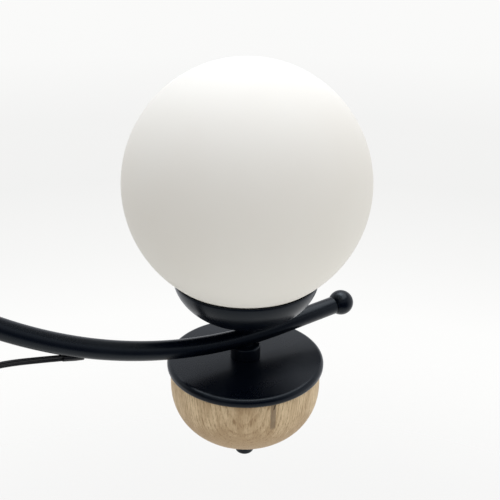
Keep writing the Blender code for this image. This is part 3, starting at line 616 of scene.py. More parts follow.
class Workpiece:
    """A mesh on the bench, shaped with operators."""

    def __init__(self, name: str, add: Callable[..., Any], **settings: Any) -> None:
        """Add a primitive and put its place into its mesh.

        Args:
            name: The piece's name.
            add: The operator that adds the primitive.
            settings: The operator's settings.
        """
        bpy.ops.object.select_all(action="DESELECT")
        add(**settings)
        self.object = bpy.context.object
        self.object.name = name
        bpy.ops.object.transform_apply(location=True, rotation=True, scale=True)

    def select(self) -> None:
        """Select this piece alone."""
        bpy.ops.object.select_all(action="DESELECT")
        self.object.select_set(True)
        bpy.context.view_layer.objects.active = self.object

    @contextmanager
    def editing(self) -> Iterator[None]:
        """Work in edit mode with all of the mesh selected."""
        self.select()
        bpy.ops.object.mode_set(mode="EDIT")
        bpy.ops.mesh.select_mode(type="VERT")
        bpy.ops.mesh.select_all(action="SELECT")
        yield
        bpy.ops.object.mode_set(mode="OBJECT")

    def pick(self, kind: str, test: Callable[[Any], bool]) -> None:
        """Select, in edit mode, what passes a test.

        Args:
            kind: VERT, EDGE or FACE.
            test: Says whether an element is wanted.
        """
        bpy.ops.mesh.select_mode(type=kind)
        bpy.ops.mesh.select_all(action="DESELECT")
        mesh = bmesh.from_edit_mesh(self.object.data)
        for item in {"VERT": mesh.verts, "EDGE": mesh.edges, "FACE": mesh.faces}[kind]:
            if test(item):
                item.select_set(True)
        mesh.select_flush_mode()
        bmesh.update_edit_mesh(self.object.data)

    def modify(self, kind: str, **settings: Any) -> None:
        """Add a modifier and apply it."""
        modifier = self.object.modifiers.new(kind.lower(), kind)
        for key, value in settings.items():
            setattr(modifier, key, value)
        self.select()
        bpy.ops.object.modifier_apply(modifier=modifier.name)

    def combine(self, other: "Workpiece", operation: str = "DIFFERENCE") -> None:
        """Cut, join or intersect with another piece, which is used up."""
        self.modify("BOOLEAN", operation=operation, solver="EXACT", object=other.object)
        bpy.data.objects.remove(other.object)

    def smooth(self) -> "Workpiece":
        """Merge doubles, turn the faces out and shade smooth below the edge angle."""
        with self.editing():
            bpy.ops.mesh.remove_doubles(threshold=MERGE_DISTANCE)
            bpy.ops.mesh.normals_make_consistent(inside=False)
        bpy.ops.object.shade_smooth_by_angle(angle=SMOOTH_ANGLE)
        return self

    def copy(self, name: str, place: Matrix) -> bpy.types.Object:
        """Copy the piece with a mesh of its own, moved to a place.

        Args:
            name: Name of the copy.
            place: Where the bench's datum goes.

        Returns:
            The copy, whose object stays at the origin.
        """
        made = self.object.copy()
        made.name = name
        made.data = self.object.data.copy()
        made.data.name = name
        made.data.transform(place)
        bpy.context.scene.collection.objects.link(made)
        return made

    def discard(self) -> None:
        """Remove the piece from the bench."""
        bpy.data.objects.remove(self.object)


def turned(name: str, outline: Sequence[Point], steps: int = ROUND_STEPS) -> Workpiece:
    """Turn an outline about the upright axis.

    Args:
        name: The piece's name.
        outline: Points of radius and height, closed or with its ends on the axis.
        steps: Parts of the full turn.

    Returns:
        The turned piece.
    """
    piece = Workpiece(name, bpy.ops.mesh.primitive_plane_add, size=MERGE_DISTANCE)
    with piece.editing():
        bpy.ops.mesh.merge(type="CENTER")
        here = Vector((0, 0, 0))
        for index, (radius, height) in enumerate(outline):
            there = Vector((radius, 0, height))
            if index == 0:
                bpy.ops.transform.translate(value=there - here)
            else:
                bpy.ops.mesh.extrude_region_move(TRANSFORM_OT_translate={"value": there - here})
            here = there
        bpy.ops.mesh.select_all(action="SELECT")
        bpy.ops.mesh.spin(steps=steps, angle=math.tau, center=(0, 0, 0), axis=(0, 0, 1))
    return piece.smooth()


def bar(name: str, radius: float, start: Vector, end: Vector, sides: int = TUBE_STEPS) -> Workpiece:
    """Round bar between two points."""
    run = end - start
    turn = Vector((0, 0, 1)).rotation_difference(run).to_euler()
    return Workpiece(
        name,
        bpy.ops.mesh.primitive_cylinder_add,
        vertices=sides,
        radius=radius,
        depth=run.length,
        location=(start + end) / 2,
        rotation=turn,
    )


def block(name: str, middle: Vector, size: Vector) -> Workpiece:
    """Rectangular block about its middle."""
    return Workpiece(name, bpy.ops.mesh.primitive_cube_add, size=1, location=middle, scale=size)


def screw_thread(name: str, radius: float, low: float, high: float) -> Workpiece:
    """Threaded rod, cut flat at both ends.

    Args:
        name: The piece's name.
        radius: Radius of the thread's crest.
        low: Height of the lower end.
        high: Height of the upper end.

    Returns:
        The rod.
    """
    pitch = THREAD_PITCH
    root = radius - pitch / 2
    piece = Workpiece(name, bpy.ops.mesh.primitive_plane_add, size=MERGE_DISTANCE)
    with piece.editing():
        bpy.ops.mesh.merge(type="CENTER")
        bpy.ops.transform.translate(value=(root, 0, low - pitch))
        bpy.ops.mesh.extrude_region_move(TRANSFORM_OT_translate={"value": (radius - root, 0, pitch / 2)})
        bpy.ops.mesh.extrude_region_move(TRANSFORM_OT_translate={"value": (root - radius, 0, pitch / 2)})
    turns = math.ceil((high - low) / pitch) + 1
    piece.modify(
        "SCREW",
        angle=math.tau,
        screw_offset=pitch,
        iterations=turns,
        steps=THREAD_STEPS,
        render_steps=THREAD_STEPS,
        use_merge_vertices=True,
        merge_threshold=MERGE_DISTANCE,
    )
    with piece.editing():
        bpy.ops.mesh.remove_doubles(threshold=MERGE_DISTANCE)
        bpy.ops.mesh.bisect(plane_co=(0, 0, low), plane_no=(0, 0, 1), use_fill=True, clear_inner=True)
        bpy.ops.mesh.select_all(action="SELECT")
        bpy.ops.mesh.bisect(plane_co=(0, 0, high), plane_no=(0, 0, 1), use_fill=True, clear_outer=True)
    return piece.smooth()


def hand_over(
    piece: bpy.types.Object, material: bpy.types.Material, body: str, slot: Slot, *nodes: str
) -> None:
    """Dress a finished piece and tie it to the frame.

    Args:
        piece: The piece, in place.
        material: Its finish.
        body: The body that it moves with.
        slot: The record's slot that its finish belongs to; it is not used.
        nodes: The solids that it stands for.
    """
    piece.data.materials.clear()
    piece.data.materials.append(material)
    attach(piece, body)
    if nodes:
        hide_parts(*nodes)
    LOG.info("%s rides on %s and stands for %s", piece.name, body, ", ".join(nodes) or "nothing")


@dataclass(frozen=True)
class Station:
    """Place of a lamp unit, or of the centre, on its plate's top face."""

    number: int
    axis: Vector
    heading: float

    @classmethod
    def of_unit(cls, number: int) -> "Station":
        """Station of a lamp unit, read from its plate."""
        low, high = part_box(f"unit_plate_{number}")
        axis = Vector(((low.x + high.x) / 2, (low.y + high.y) / 2, high.z))
        return cls(number, axis, math.atan2(axis.y, axis.x))

    @classmethod
    def of_centre(cls) -> "Station":
        """Station of the centre column."""
        return cls(0, Vector((0, 0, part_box("centre_plate")[1].z)), 0.0)

    @classmethod
    def of_ceiling(cls) -> "Station":
        """Station of the ceiling end, at the frame's origin."""
        return cls(0, Vector((0, 0, 0)), 0.0)

    @property
    def place(self) -> Matrix:
        """Matrix from the bench to this station."""
        return Matrix.Translation(self.axis) @ Matrix.Rotation(self.heading, 4, "Z")

    def levels(self, node: str) -> Span:
        """Lowest and highest level of a node above this station's datum."""
        low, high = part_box(node)
        return low.z - self.axis.z, high.z - self.axis.z


@dataclass(frozen=True)
class Part:
    """A finished workpiece with all that its copies need."""

    name: str
    piece: Workpiece
    material: bpy.types.Material
    body: Body
    slot: Slot
    node: str = ""


def set_out(parts: Sequence[Part], station: Station, tag: str) -> list[bpy.types.Object]:
    """Copy finished parts to a station and tie each copy to the frame.

    Args:
        parts: The parts, at the bench's datum; {} in a node's name stands for the unit's number.
        station: Where the copies go.
        tag: Start of their names.

    Returns:
        The copies, in the parts' order.
    """
    copies = []
    for part in parts:
        made = part.piece.copy(f"{tag}_{part.name}", station.place)
        nodes = [part.node.format(station.number)] if part.node else []
        hand_over(made, part.material, part.body.of_unit(station.number), part.slot, *nodes)
        copies.append(made)
    return copies


def clear_bench(parts: Sequence[Part]) -> None:
    """Remove the workpieces of parts that are set out."""
    for part in parts:
        part.piece.discard()


@dataclass(frozen=True)
class Finishes:
    """Materials that several sub-assemblies share."""

    coat: bpy.types.Material = field(default_factory=BLACK_COAT.material)
    opal: bpy.types.Material = field(default_factory=OPAL.material)
    zinc: bpy.types.Material = field(default_factory=ZINC.material)
    steatite: bpy.types.Material = field(default_factory=STEATITE.material)
    frosted: bpy.types.Material = field(default_factory=FROSTED.material)
    sheath: bpy.types.Material = field(default_factory=SOFT_PVC.material)
    moulding: bpy.types.Material = field(default_factory=WHITE_MOULDED.material)


@dataclass
class Foot:
    """Plate, oak bowl, cap nut and threaded rod, under each unit and under the column."""

    finishes: Finishes
    stations: Sequence[Station]
    centre: Station
    plate_radius: float = 0.052
    plate_edge: float = 0.0030
    plate_under_edge: float = 0.0020
    bowl_radius: float = 0.050
    bowl_side: float = 0.0117
    bowl_edge: float = 0.0006
    bowl_power: float = 2.26
    bowl_turn_step: float = 2.1
    nut_radius: float = 0.0065
    nut_edge: float = 0.0004
    nut_dome: float = 0.00285
    nut_power: float = 2.0
    nut_bore_depth: float = 0.009
    rod_radius: float = 0.004
    unit_nodes: Sequence[str] = ("unit_plate_{}", "oak_bowl_{}", "cap_nut_{}", "threaded_rod_{}")
    centre_nodes: Sequence[str] = ("centre_plate", "centre_bowl", "centre_cap_nut", "centre_rod")

    def plate(self) -> Workpiece:
        """Round plate with rounded edges, whose underside is as wide as the bowl."""
        low, high = self.stations[0].levels("unit_plate_1")
        corners = [
            (ROD_BORE, high),
            (self.plate_radius, high, self.plate_edge),
            (self.plate_radius, low, self.plate_under_edge),
            (ROD_BORE, low),
        ]
        return turned("bench_plate", closed(corners, 10), WIDE_STEPS)

    def bowl(self) -> Workpiece:
        """Oak bowl with a straight side and a squarish round bottom."""
        low, high = self.stations[0].levels("oak_bowl_1")
        side_end = high - self.bowl_side
        arc = squarish_arc(0.0, side_end, self.bowl_radius, side_end - low, self.bowl_power, 40)
        seat = self.nut_radius + SEAT_GAP
        outline = rounded([(ROD_BORE, high), (self.bowl_radius, high, self.bowl_edge), arc[0]], 3)[:-1]
        outline += [point for point in arc if point[0] > seat]
        outline += [(seat, low), (ROD_BORE, low), (ROD_BORE, high)]
        return turned("bench_bowl", outline, WIDE_STEPS)

    def nut(self) -> Workpiece:
        """Domed cap nut with a blind bore."""
        low, high = self.stations[0].levels("cap_nut_1")
        top = high + SEAT_GAP
        bore_end = high - self.nut_bore_depth
        corners = [(ROD_BORE, top), (self.nut_radius, top, self.nut_edge), (self.nut_radius, low)]
        outline = [(0.0, bore_end), (ROD_BORE, bore_end), (ROD_BORE, top), *rounded(corners, 3)[1:-1]]
        dome = self.nut_dome
        outline += squarish_arc(0.0, low + dome, self.nut_radius, dome, self.nut_power, 12)
        return turned("bench_nut", outline, SLIM_STEPS)

    def build(self) -> None:
        """Make the feet of all stations."""
        coat, zinc = self.finishes.coat, self.finishes.zinc
        plate, bowl, nut = self.plate(), self.bowl(), self.nut()
        unit_rod = screw_thread("bench_rod", self.rod_radius, *self.stations[0].levels("threaded_rod_1"))
        long_rod = screw_thread("bench_long_rod", self.rod_radius, *self.centre.levels("centre_rod"))
        for station in [*self.stations, self.centre]:
            number = station.number
            turn = self.bowl_turn_step * (number - 1)
            oak = Oak(f"oiled_oak_{number}", tuple(station.axis), turn).material()
            nodes = self.unit_nodes if number else self.centre_nodes
            parts = [
                Part("round_plate", plate, coat, Body.FRAME, Slot.BLACK_METAL, nodes[0]),
                Part("turned_bowl", bowl, oak, Body.FRAME, Slot.OAK, nodes[1]),
                Part("domed_nut", nut, coat, Body.FRAME, Slot.BLACK_METAL, nodes[2]),
                Part("rod", unit_rod if number else long_rod, zinc, Body.FRAME, Slot.ZINC_STEEL, nodes[3]),
            ]
            set_out(parts, station, f"unit_{number}" if number else "column")
        for piece in (plate, bowl, nut, unit_rod, long_rod):
            piece.discard()


@dataclass
class Arm:
    """Bent arm with its finial, cord and cord bush, and the stem and neck that clamp it."""

    finishes: Finishes
    stations: Sequence[Station]
    wall: float = 0.0013
    rim_edge: float = 0.00035
    axis_height: float = 0.0144
    bend_radius: float = 0.270
    bend_steps: int = 48
    shoulder_radius: float = 0.080
    shoulder_steps: int = 20
    straight_start: float = 0.027
    tip: float = 0.0703
    level_length: float = 0.0195
    stem_radius: float = 0.0099
    stem_edge: float = 0.0016
    stem_seat_radius: float = 0.0058
    stem_seat_rise: float = 0.0009
    neck_radius: float = 0.00705
    ball_radius: float = 0.0087
    ball_flat_radius: float = 0.0056
    spigot_radius: float = 0.0043
    spigot_length: float = 0.008
    bush_radius: float = 0.0026
    bush_end_radius: float = 0.0022
    bush_bore: float = 0.00203
    bush_length: float = 0.0118
    bush_edge: float = 0.0001
    bush_taper_start: float = 0.4
    bush_taper_fillet: float = 0.002
    bush_tail: float = 0.0004
    bush_tail_edge: float = 0.0002
    cord_height: float = 0.004
    cord_core_radius: float = 0.00105
    cord_web_angle: float = math.radians(27.0)
    cord_inset: float = 0.002
    gland_face: float = 0.0278
    route: Sequence[Point] = (
        (-0.1087, 0.03155),
        (-0.1215, 0.03365),
        (-0.1349, 0.03615),
        (-0.1480, 0.03830),
        (-0.1600, 0.03920),
        (-0.1740, 0.03890),
        (-0.1900, 0.03660),
        (-0.2070, 0.03290),
        (-0.2240, 0.02900),
        (-0.2400, 0.02620),
        (-0.2530, 0.02510),
        (-0.2620, 0.02500),
    )

    @property
    def reach(self) -> float:
        """Distance from the column's axis to a unit's axis."""
        return self.stations[0].axis.xy.length

    @property
    def bend_centre(self) -> Vector:
        """Centre of the arm's long bend, which rests on both edges of the stem."""
        seat = math.asin(self.stem_radius / self.bend_radius)
        return Vector((0, 0, self.axis_height + self.bend_radius * math.cos(seat)))

    @property
    def tip_slope(self) -> float:
        """Slope of the arm's straight outer end."""
        return math.asin(self.straight_start / self.bend_radius)

    @property
    def outward(self) -> Vector:
        """Direction of the arm's outer end."""
        return Vector((math.cos(self.tip_slope), 0, math.sin(self.tip_slope)))

    @property
    def tip_centre(self) -> Vector:
        """Centre of the tube's outer end."""
        slope = self.tip_slope
        start = self.bend_centre + Vector((math.sin(slope), 0, -math.cos(slope))) * self.bend_radius
        return start + self.outward * (self.tip - self.straight_start) / math.cos(slope)

    def cord_exit(self) -> tuple[Vector, Vector]:
        """Place and direction of the bush where the cord leaves the arm."""
        first, second = (Vector((x, 0, z)) for x, z in self.route[:2])
        return first, (second - first).normalized()

    def tube(self) -> Workpiece:
        """Tube bent from its tip to the hub, slotted for the cord."""
        turn_radius = self.bend_radius + self.shoulder_radius
        slope = math.asin((self.reach - HUB_RADIUS - self.level_length) / turn_radius)
        shoulder = self.bend_centre - Vector((math.sin(slope), 0, math.cos(slope))) * turn_radius
        straight = (self.straight_start - self.tip) / math.cos(self.tip_slope)
        level = HUB_RADIUS - HUB_ENGAGEMENT - self.reach - shoulder.x
        piece = Workpiece(
            "bench_arm",
            bpy.ops.mesh.primitive_circle_add,
            vertices=TUBE_STEPS,
            radius=TUBE_RADIUS,
            location=self.tip_centre,
            rotation=(0, math.pi / 2 - self.tip_slope, 0),
        )
        with piece.editing():
            bpy.ops.mesh.extrude_region_move(TRANSFORM_OT_translate={"value": self.outward * straight})
            bpy.ops.mesh.spin(
                steps=self.bend_steps,
                angle=slope + self.tip_slope,
                center=self.bend_centre,
                axis=(0, -1, 0),
            )
            bpy.ops.mesh.spin(steps=self.shoulder_steps, angle=slope, center=shoulder, axis=(0, 1, 0))
            bpy.ops.mesh.extrude_region_move(TRANSFORM_OT_translate={"value": (level, 0, 0)})
        piece.smooth()
        piece.modify("SOLIDIFY", thickness=self.wall, offset=-1.0)
        piece.modify(
            "BEVEL", width=self.rim_edge, segments=3, limit_method="ANGLE", angle_limit=BEVEL_ANGLE
        )
        start, direction = self.cord_exit()
        inner = start - direction * (self.bush_tail + SEAT_GAP)
        outer = start + direction * (self.bush_length + 2 * TUBE_RADIUS)
        piece.combine(bar("slot", self.bush_radius + SEAT_GAP, inner, outer))
        drill_top = self.axis_height + TUBE_RADIUS + CUT_OVERRUN
        piece.combine(bar("drill", ROD_BORE, Vector((0, 0, 0)), Vector((0, 0, drill_top))))
        return piece.smooth()

    def saddle(self) -> Workpiece:
        """Bar that hollows the stem and the neck for the arm."""
        reach = self.stem_radius + CUT_OVERRUN
        height = self.axis_height - SEAT_GAP / 2
        start, end = Vector((-reach, 0, height)), Vector((reach, 0, height))
        return bar("saddle", TUBE_RADIUS + SEAT_GAP / 3, start, end, ROUND_STEPS)

    def stem(self) -> Workpiece:
        """Stem between the plate and the arm."""
        high = self.stations[0].levels("stem_1")[1]
        corners = [
            (ROD_BORE, high + self.stem_seat_rise),
            (self.stem_seat_radius, high, SEAT_GAP),
            (self.stem_radius, high, self.stem_edge),
            (self.stem_radius, 0.0, SEAT_GAP),
            (ROD_BORE, 0.0),
        ]
        piece = turned("bench_stem", closed(corners, 6), SLIM_STEPS)
        piece.combine(self.saddle())
        return piece.smooth()

    def neck(self) -> Workpiece:
        """Neck between the arm and the cup."""
        low, high = self.stations[0].levels("neck_1")
        outline = tube_outline(self.neck_radius, ROD_BORE, low, high + SEAT_GAP)
        piece = turned("bench_neck", outline, SLIM_STEPS)
        piece.combine(self.saddle())
        return piece.smooth()

    def finial(self) -> Workpiece:
        """Ball with a flat and a spigot for the arm's open end."""
        drop = math.sqrt(self.ball_radius ** 2 - self.ball_flat_radius ** 2)
        centre = self.tip_centre + self.outward * drop
        piece = Workpiece(
            "bench_finial",
            bpy.ops.mesh.primitive_uv_sphere_add,
            segments=SLIM_STEPS,
            ring_count=TUBE_STEPS,
            radius=self.ball_radius,
            location=centre,
            rotation=(0, math.pi / 2 - self.tip_slope, 0),
        )
        outward = self.outward
        spigot = outward * -self.spigot_length
        with piece.editing():
            bpy.ops.mesh.bisect(plane_co=self.tip_centre, plane_no=outward, use_fill=True, clear_inner=True)
            piece.pick("FACE", lambda face: face.normal.dot(outward) < -FACING and len(face.verts) > 4)
            bpy.ops.mesh.inset(thickness=self.ball_flat_radius - self.spigot_radius)
            bpy.ops.mesh.extrude_region_move(TRANSFORM_OT_translate={"value": spigot})
        return piece.smooth()

    def bush(self) -> Workpiece:
        """Tapered bush that holds the cord in the arm's slot."""
        corners = [
            (self.bush_bore, 0.0),
            (self.bush_bore, self.bush_length, self.bush_edge),
            (self.bush_end_radius, self.bush_length, self.bush_edge),
            (self.bush_radius, self.bush_length * self.bush_taper_start, self.bush_taper_fillet),
            (self.bush_radius, -self.bush_tail, self.bush_tail_edge),
            (self.bush_bore, -self.bush_tail, self.bush_edge),
        ]
        piece = turned("bench_bush", closed(corners, 4), SMALL_STEPS)
        start, direction = self.cord_exit()
        turn = Vector((0, 0, 1)).rotation_difference(direction).to_matrix().to_4x4()
        piece.object.data.transform(Matrix.Translation(start) @ turn)
        return piece

    def cord_path(self, parts: int = 3) -> list[Vector]:
        """Points of one smooth curve from the bush to the gland."""
        start, direction = self.cord_exit()
        points = [start + direction * (self.bush_length - self.cord_inset)]
        points += [Vector((x, 0, z)) for x, z in self.route[1:-1]]
        points.append(Vector((self.gland_face - self.reach, 0, self.route[-1][1])))
        padded = [2 * points[0] - points[1], *points, 2 * points[-1] - points[-2]]
        path = []
        for before, first, second, after in zip(padded, padded[1:], padded[2:], padded[3:]):
            for part in range(parts):
                t = part / parts
                blend = 3 * t ** 2 - 2 * t ** 3
                pull = (second - before) * (t - 2 * t ** 2 + t ** 3) / 2
                push = (after - first) * (t ** 3 - t ** 2) / 2
                path.append(first * (1 - blend) + second * blend + pull + push)
        path.append(points[-1])
        return path

    def cord_section(self) -> bpy.types.Object:
        """Closed outline of two cores side by side, joined by a thin web."""
        core = self.cord_core_radius
        offset = self.cord_height / 2 - core
        waist = self.cord_web_angle
        curve = bpy.data.curves.new("cord_section", "CURVE")
        spline = curve.splines.new("POLY")
        places = []
        for side in (1, -1):
            for step in range(CORE_STEPS + 1):
                angle = waist - math.pi / 2 + (2 * math.pi - 2 * waist) * step / CORE_STEPS
                places.append((side * core * math.cos(angle), side * (offset + core * math.sin(angle))))
        spline.points.add(len(places) - 1)
        for point, (x, y) in zip(spline.points, places):
            point.co = (x, y, 0.0, 1.0)
        spline.use_cyclic_u = True
        section = bpy.data.objects.new("cord_section", curve)
        bpy.context.scene.collection.objects.link(section)
        return section

    def cord(self) -> Workpiece:
        """Two-core cord along its path, its flat side upright."""
        section = self.cord_section()
        path = self.cord_path()
        piece = Workpiece("bench_cord", bpy.ops.curve.primitive_nurbs_path_add)
        curve = piece.object.data
        curve.splines.clear()
        spline = curve.splines.new("POLY")
        spline.points.add(len(path) - 1)
        for point, place in zip(spline.points, path):
            point.co = (*place, 1.0)
        curve.twist_mode = "Z_UP"
        curve.bevel_mode = "OBJECT"
        curve.bevel_object = section
        curve.use_fill_caps = True
        piece.select()
        bpy.ops.object.convert(target="MESH")
        piece.object = bpy.context.object
        bpy.data.objects.remove(section)
        return piece.smooth()

    def build(self) -> None:
        """Make the arms of all units."""
        coat, sheath, body = self.finishes.coat, self.finishes.sheath, Body.FRAME
        parts = [
            Part("bent_arm", self.tube(), coat, body, Slot.BLACK_METAL, "arm_{}"),
            Part("clamp_stem", self.stem(), coat, body, Slot.BLACK_METAL, "stem_{}"),
            Part("cup_neck", self.neck(), coat, body, Slot.BLACK_METAL, "neck_{}"),
            Part("ball_finial", self.finial(), coat, body, Slot.BLACK_METAL, "finial_{}"),
            Part("tapered_bush", self.bush(), sheath, body, Slot.BLACK_PVC, "cord_bush_{}"),
            Part("two_core_cord", self.cord(), sheath, body, Slot.BLACK_PVC, "cord_{}"),
        ]
        path = self.cord_path()
        length = sum((after - before).length for before, after in zip(path, path[1:]))
        for station in self.stations:
            made = set_out(parts, station, f"unit_{station.number}")[-1]
            placed = [station.place @ point for point in path]
        clear_bench(parts)


@dataclass
class LampHead:
    """Cup, lock nut, lampholder, capsule and globe of each unit.

    A groove is given by its corners' depth, height above the piece's foot and fillet.
    """

    finishes: Finishes
    stations: Sequence[Station]
    cup_radius: float = 0.0462
    cup_wall: float = 0.0012
    cup_flat: float = 0.017
    cup_power: float = 1.7
    roll_steps: int = 6
    nut_across: float = 0.014
    nut_edge: float = 0.0006
    holder_radius: float = 0.011
    holder_dish: Sequence[float] = (0.70, 0.76)
    holder_dish_depth: float = 0.0006
    holder_dish_fillet: float = 0.0004
    holder_edge: float = 0.0012
    holder_groove: Sequence[Corner] = (
        (0.0, 0.0125, 0.0005),
        (0.0011, 0.0118, 0.0004),
        (0.0011, 0.0092, 0.0004),
        (0.0, 0.0085, 0.0005),
    )
    holder_foot_edge: float = 0.0008
    holder_bore_depth: float = 0.0063
    pin_spacing: float = 0.009
    pin_radius: float = 0.0008
    pin_length: float = 0.0092
    pin_end: float = 0.0005
    pin_play: float = 0.0004
    pin_hole_depth: float = 0.0094
    capsule_radius: float = 0.008
    capsule_seat: float = 0.0086
    capsule_foot: float = 0.002
    capsule_foot_share: float = 0.82
    capsule_edge: float = 0.0008
    tip_height: float = 0.0009
    tip_radius: float = 0.0012
    tip_shoulder: float = 0.4
    base_radius: float = 0.00725
    base_height: float = 0.012
    base_foot_edge: float = 0.0007
    base_edge: float = 0.0003
    base_flank: float = 0.0012
    base_groove: Sequence[Corner] = (
        (0.0, 0.0054, 0.0004),
        (0.0005, 0.0060, 0.0004),
        (0.0005, 0.0108, 0.0004),
        (0.0, 0.0113, 0.0003),
    )
    globe_radius: float = 0.075
    globe_wall: float = 0.003
    neck_radius: float = 0.020
    neck_bore: float = 0.0172
    lip_share: float = 0.9

    def cup(self) -> Workpiece:
        """Spun cup with a rolled rim and a bored, flat floor."""
        low, high = self.stations[0].levels("cup_1")
        wall, flat, power = self.cup_wall, self.cup_flat, self.cup_power
        roll = wall / 2
        level = high - roll
        reach, depth = self.cup_radius - flat, level - low
        rim = []
        for step in range(1, self.roll_steps):
            angle = math.pi * step / self.roll_steps
            rim.append((self.cup_radius - roll + roll * math.cos(angle), level + roll * math.sin(angle)))
        outline = [
            (ROD_BORE, low),
            *reversed(squarish_arc(flat, level, reach, depth, power, 30)),
            *rim,
            *squarish_arc(flat, level, reach - wall, depth - wall, power, 30),
            (ROD_BORE, low + wall),
        ]
        return turned("bench_cup", closed(outline), WIDE_STEPS)

    def lock_nut(self) -> Workpiece:
        """Hexagonal nut with chamfered corners and a bore."""
        low, high = self.stations[0].levels("lock_nut_1")
        corner, flat, edge = self.nut_across / math.sqrt(3), self.nut_across / 2, self.nut_edge
        piece = bar("bench_lock_nut", corner, Vector((0, 0, low)), Vector((0, 0, high)), 6)
        outline = [
            (0.0, low),
            (flat, low),
            (corner + edge, low + edge),
            (corner + edge, high - edge),
            (flat, high),
            (0.0, high),
        ]
        piece.combine(turned("chamfer", outline, NARROW_STEPS), "INTERSECT")
        piece.combine(bar("bore", ROD_BORE, Vector((0, 0, low - edge)), Vector((0, 0, high + edge))))
        return piece.smooth()

    def holder(self) -> Workpiece:
        """Lampholder with a waist groove, a rod bore below and two pin holes above."""
        low, high = self.stations[0].levels("lampholder_1")
        radius = self.holder_radius
        floor = high - self.holder_dish_depth
        dish_floor, dish_rim = (radius * share for share in self.holder_dish)
        bore_end = low + self.holder_bore_depth
        corners = [
            (0.0, floor),
            (dish_floor, floor, self.holder_dish_fillet),
            (dish_rim, high, self.holder_dish_fillet),
            (radius, high, self.holder_edge),
            *grooved(radius, low, self.holder_groove),
            (radius, low - SEAT_GAP, self.holder_foot_edge),
            (ROD_BORE, low - SEAT_GAP),
            (ROD_BORE, bore_end),
            (0.0, bore_end),
        ]
        piece = turned("bench_holder", rounded(corners, 4), NARROW_STEPS)
        for sign in (-1, 1):
            top = Vector((0, sign * self.pin_spacing / 2, high + CUT_OVERRUN))
            bottom = Vector((0, top.y, high - self.pin_hole_depth))
            piece.combine(bar("pin_hole", self.pin_radius + self.pin_play, bottom, top, SMALL_STEPS))
        return piece.smooth()

    def capsule_glass(self) -> Workpiece:
        """Frosted capsule, pinched to a small tip."""
        low, high = self.stations[0].levels("bulb_1")
        foot = low + self.capsule_seat + self.base_height
        radius = self.capsule_radius
        inner = radius * self.capsule_foot_share
        side = [(inner, foot), (radius, foot, self.capsule_edge), (radius, high)]
        outline = [
            (0.0, foot - self.capsule_foot),
            (inner, foot - self.capsule_foot),
            (inner, foot),
            *rounded(side, 4)[1:-1],
            *ball_arc(high - self.tip_height - radius, radius, 0.0, math.pi / 2, 20)[:-2],
            (self.tip_radius, high - self.tip_height * self.tip_shoulder),
            (self.tip_radius / 2, high),
            (0.0, high),
        ]
        return turned("bench_capsule", outline, NARROW_STEPS)

    def capsule_base(self) -> Workpiece:
        """Moulded base with flat flanks, from which the two pins come."""
        seat = self.stations[0].levels("bulb_1")[0] + self.capsule_seat
        radius, top = self.base_radius, seat + self.base_height
        corners = [
            (0.0, seat),
            (radius, seat, self.base_foot_edge),
            *grooved(radius, seat, self.base_groove),
            (radius, top, self.base_edge),
            (0.0, top),
        ]
        piece = turned("bench_capsule_base", rounded(corners, 3), SLIM_STEPS)
        for sign in (-1, 1):
            flank = (sign * (radius - self.base_flank), 0, 0)
            with piece.editing():
                bpy.ops.mesh.bisect(plane_co=flank, plane_no=(sign, 0, 0), use_fill=True, clear_outer=True)
        return piece.smooth()

    def pin(self, sign: int) -> Workpiece:
        """Round pin with a rounded end, on one side of the base."""
        low = self.stations[0].levels("bulb_1")[0]
        place = Vector((0, sign * self.pin_spacing / 2, low))
        top = place + Vector((0, 0, self.pin_length))
        piece = bar("bench_pins", self.pin_radius, place, top, PIN_STEPS)
        with piece.editing():
            piece.pick("EDGE", lambda edge: all(abs(end.co.z - low) < MERGE_DISTANCE for end in edge.verts))
            bpy.ops.mesh.bevel(offset=self.pin_end, segments=4)
        return piece

    def pins(self) -> Workpiece:
        """Both pins as one piece."""
        piece = self.pin(-1)
        piece.combine(self.pin(1), "UNION")
        return piece.smooth()

    def globe(self) -> Workpiece:
        """Blown globe with an open neck, whose rim is fire-polished."""
        low, high = self.stations[0].levels("globe_1")
        radius = self.globe_radius
        centre = high - radius
        inner = radius - self.globe_wall
        outer_start = -math.acos(self.neck_radius / radius)
        inner_start = -math.acos(self.neck_bore / inner)
        lip = (self.neck_radius - self.neck_bore) / 2 * self.lip_share
        outside = ball_arc(centre, radius, math.pi / 2, outer_start, 88)
        inside = ball_arc(centre, inner, inner_start, math.pi / 2, 44)
        neck = [outside[-1], (self.neck_radius, low, lip), (self.neck_bore, low, lip), inside[0]]
        return turned("bench_globe", [*outside, *rounded(neck, 5)[1:], *inside[1:]], WIDE_STEPS)

    def build(self) -> None:
        """Make the lamps of all units."""
        looks, capsule = self.finishes, Body.CAPSULE
        parts = [
            Part("spun_cup", self.cup(), looks.coat, Body.FRAME, Slot.BLACK_METAL, "cup_{}"),
            Part("hexagon_nut", self.lock_nut(), looks.zinc, Body.FRAME, Slot.ZINC_STEEL, "lock_nut_{}"),
            Part("pin_holder", self.holder(), looks.steatite, Body.FRAME, Slot.CERAMIC, "lampholder_{}"),
            Part("capsule_glass", self.capsule_glass(), looks.frosted, capsule, Slot.BULB_GLASS, "bulb_{}"),
            Part("capsule_base", self.capsule_base(), looks.steatite, capsule, Slot.BULB_GLASS, "bulb_{}"),
            Part("capsule_pins", self.pins(), looks.zinc, capsule, Slot.BULB_GLASS, "bulb_{}"),
            Part("opal_globe", self.globe(), looks.opal, Body.GLOBE, Slot.OPAL_GLASS, "globe_{}"),
        ]
        for station in self.stations:
            set_out(parts, station, f"unit_{station.number}")
        clear_bench(parts)


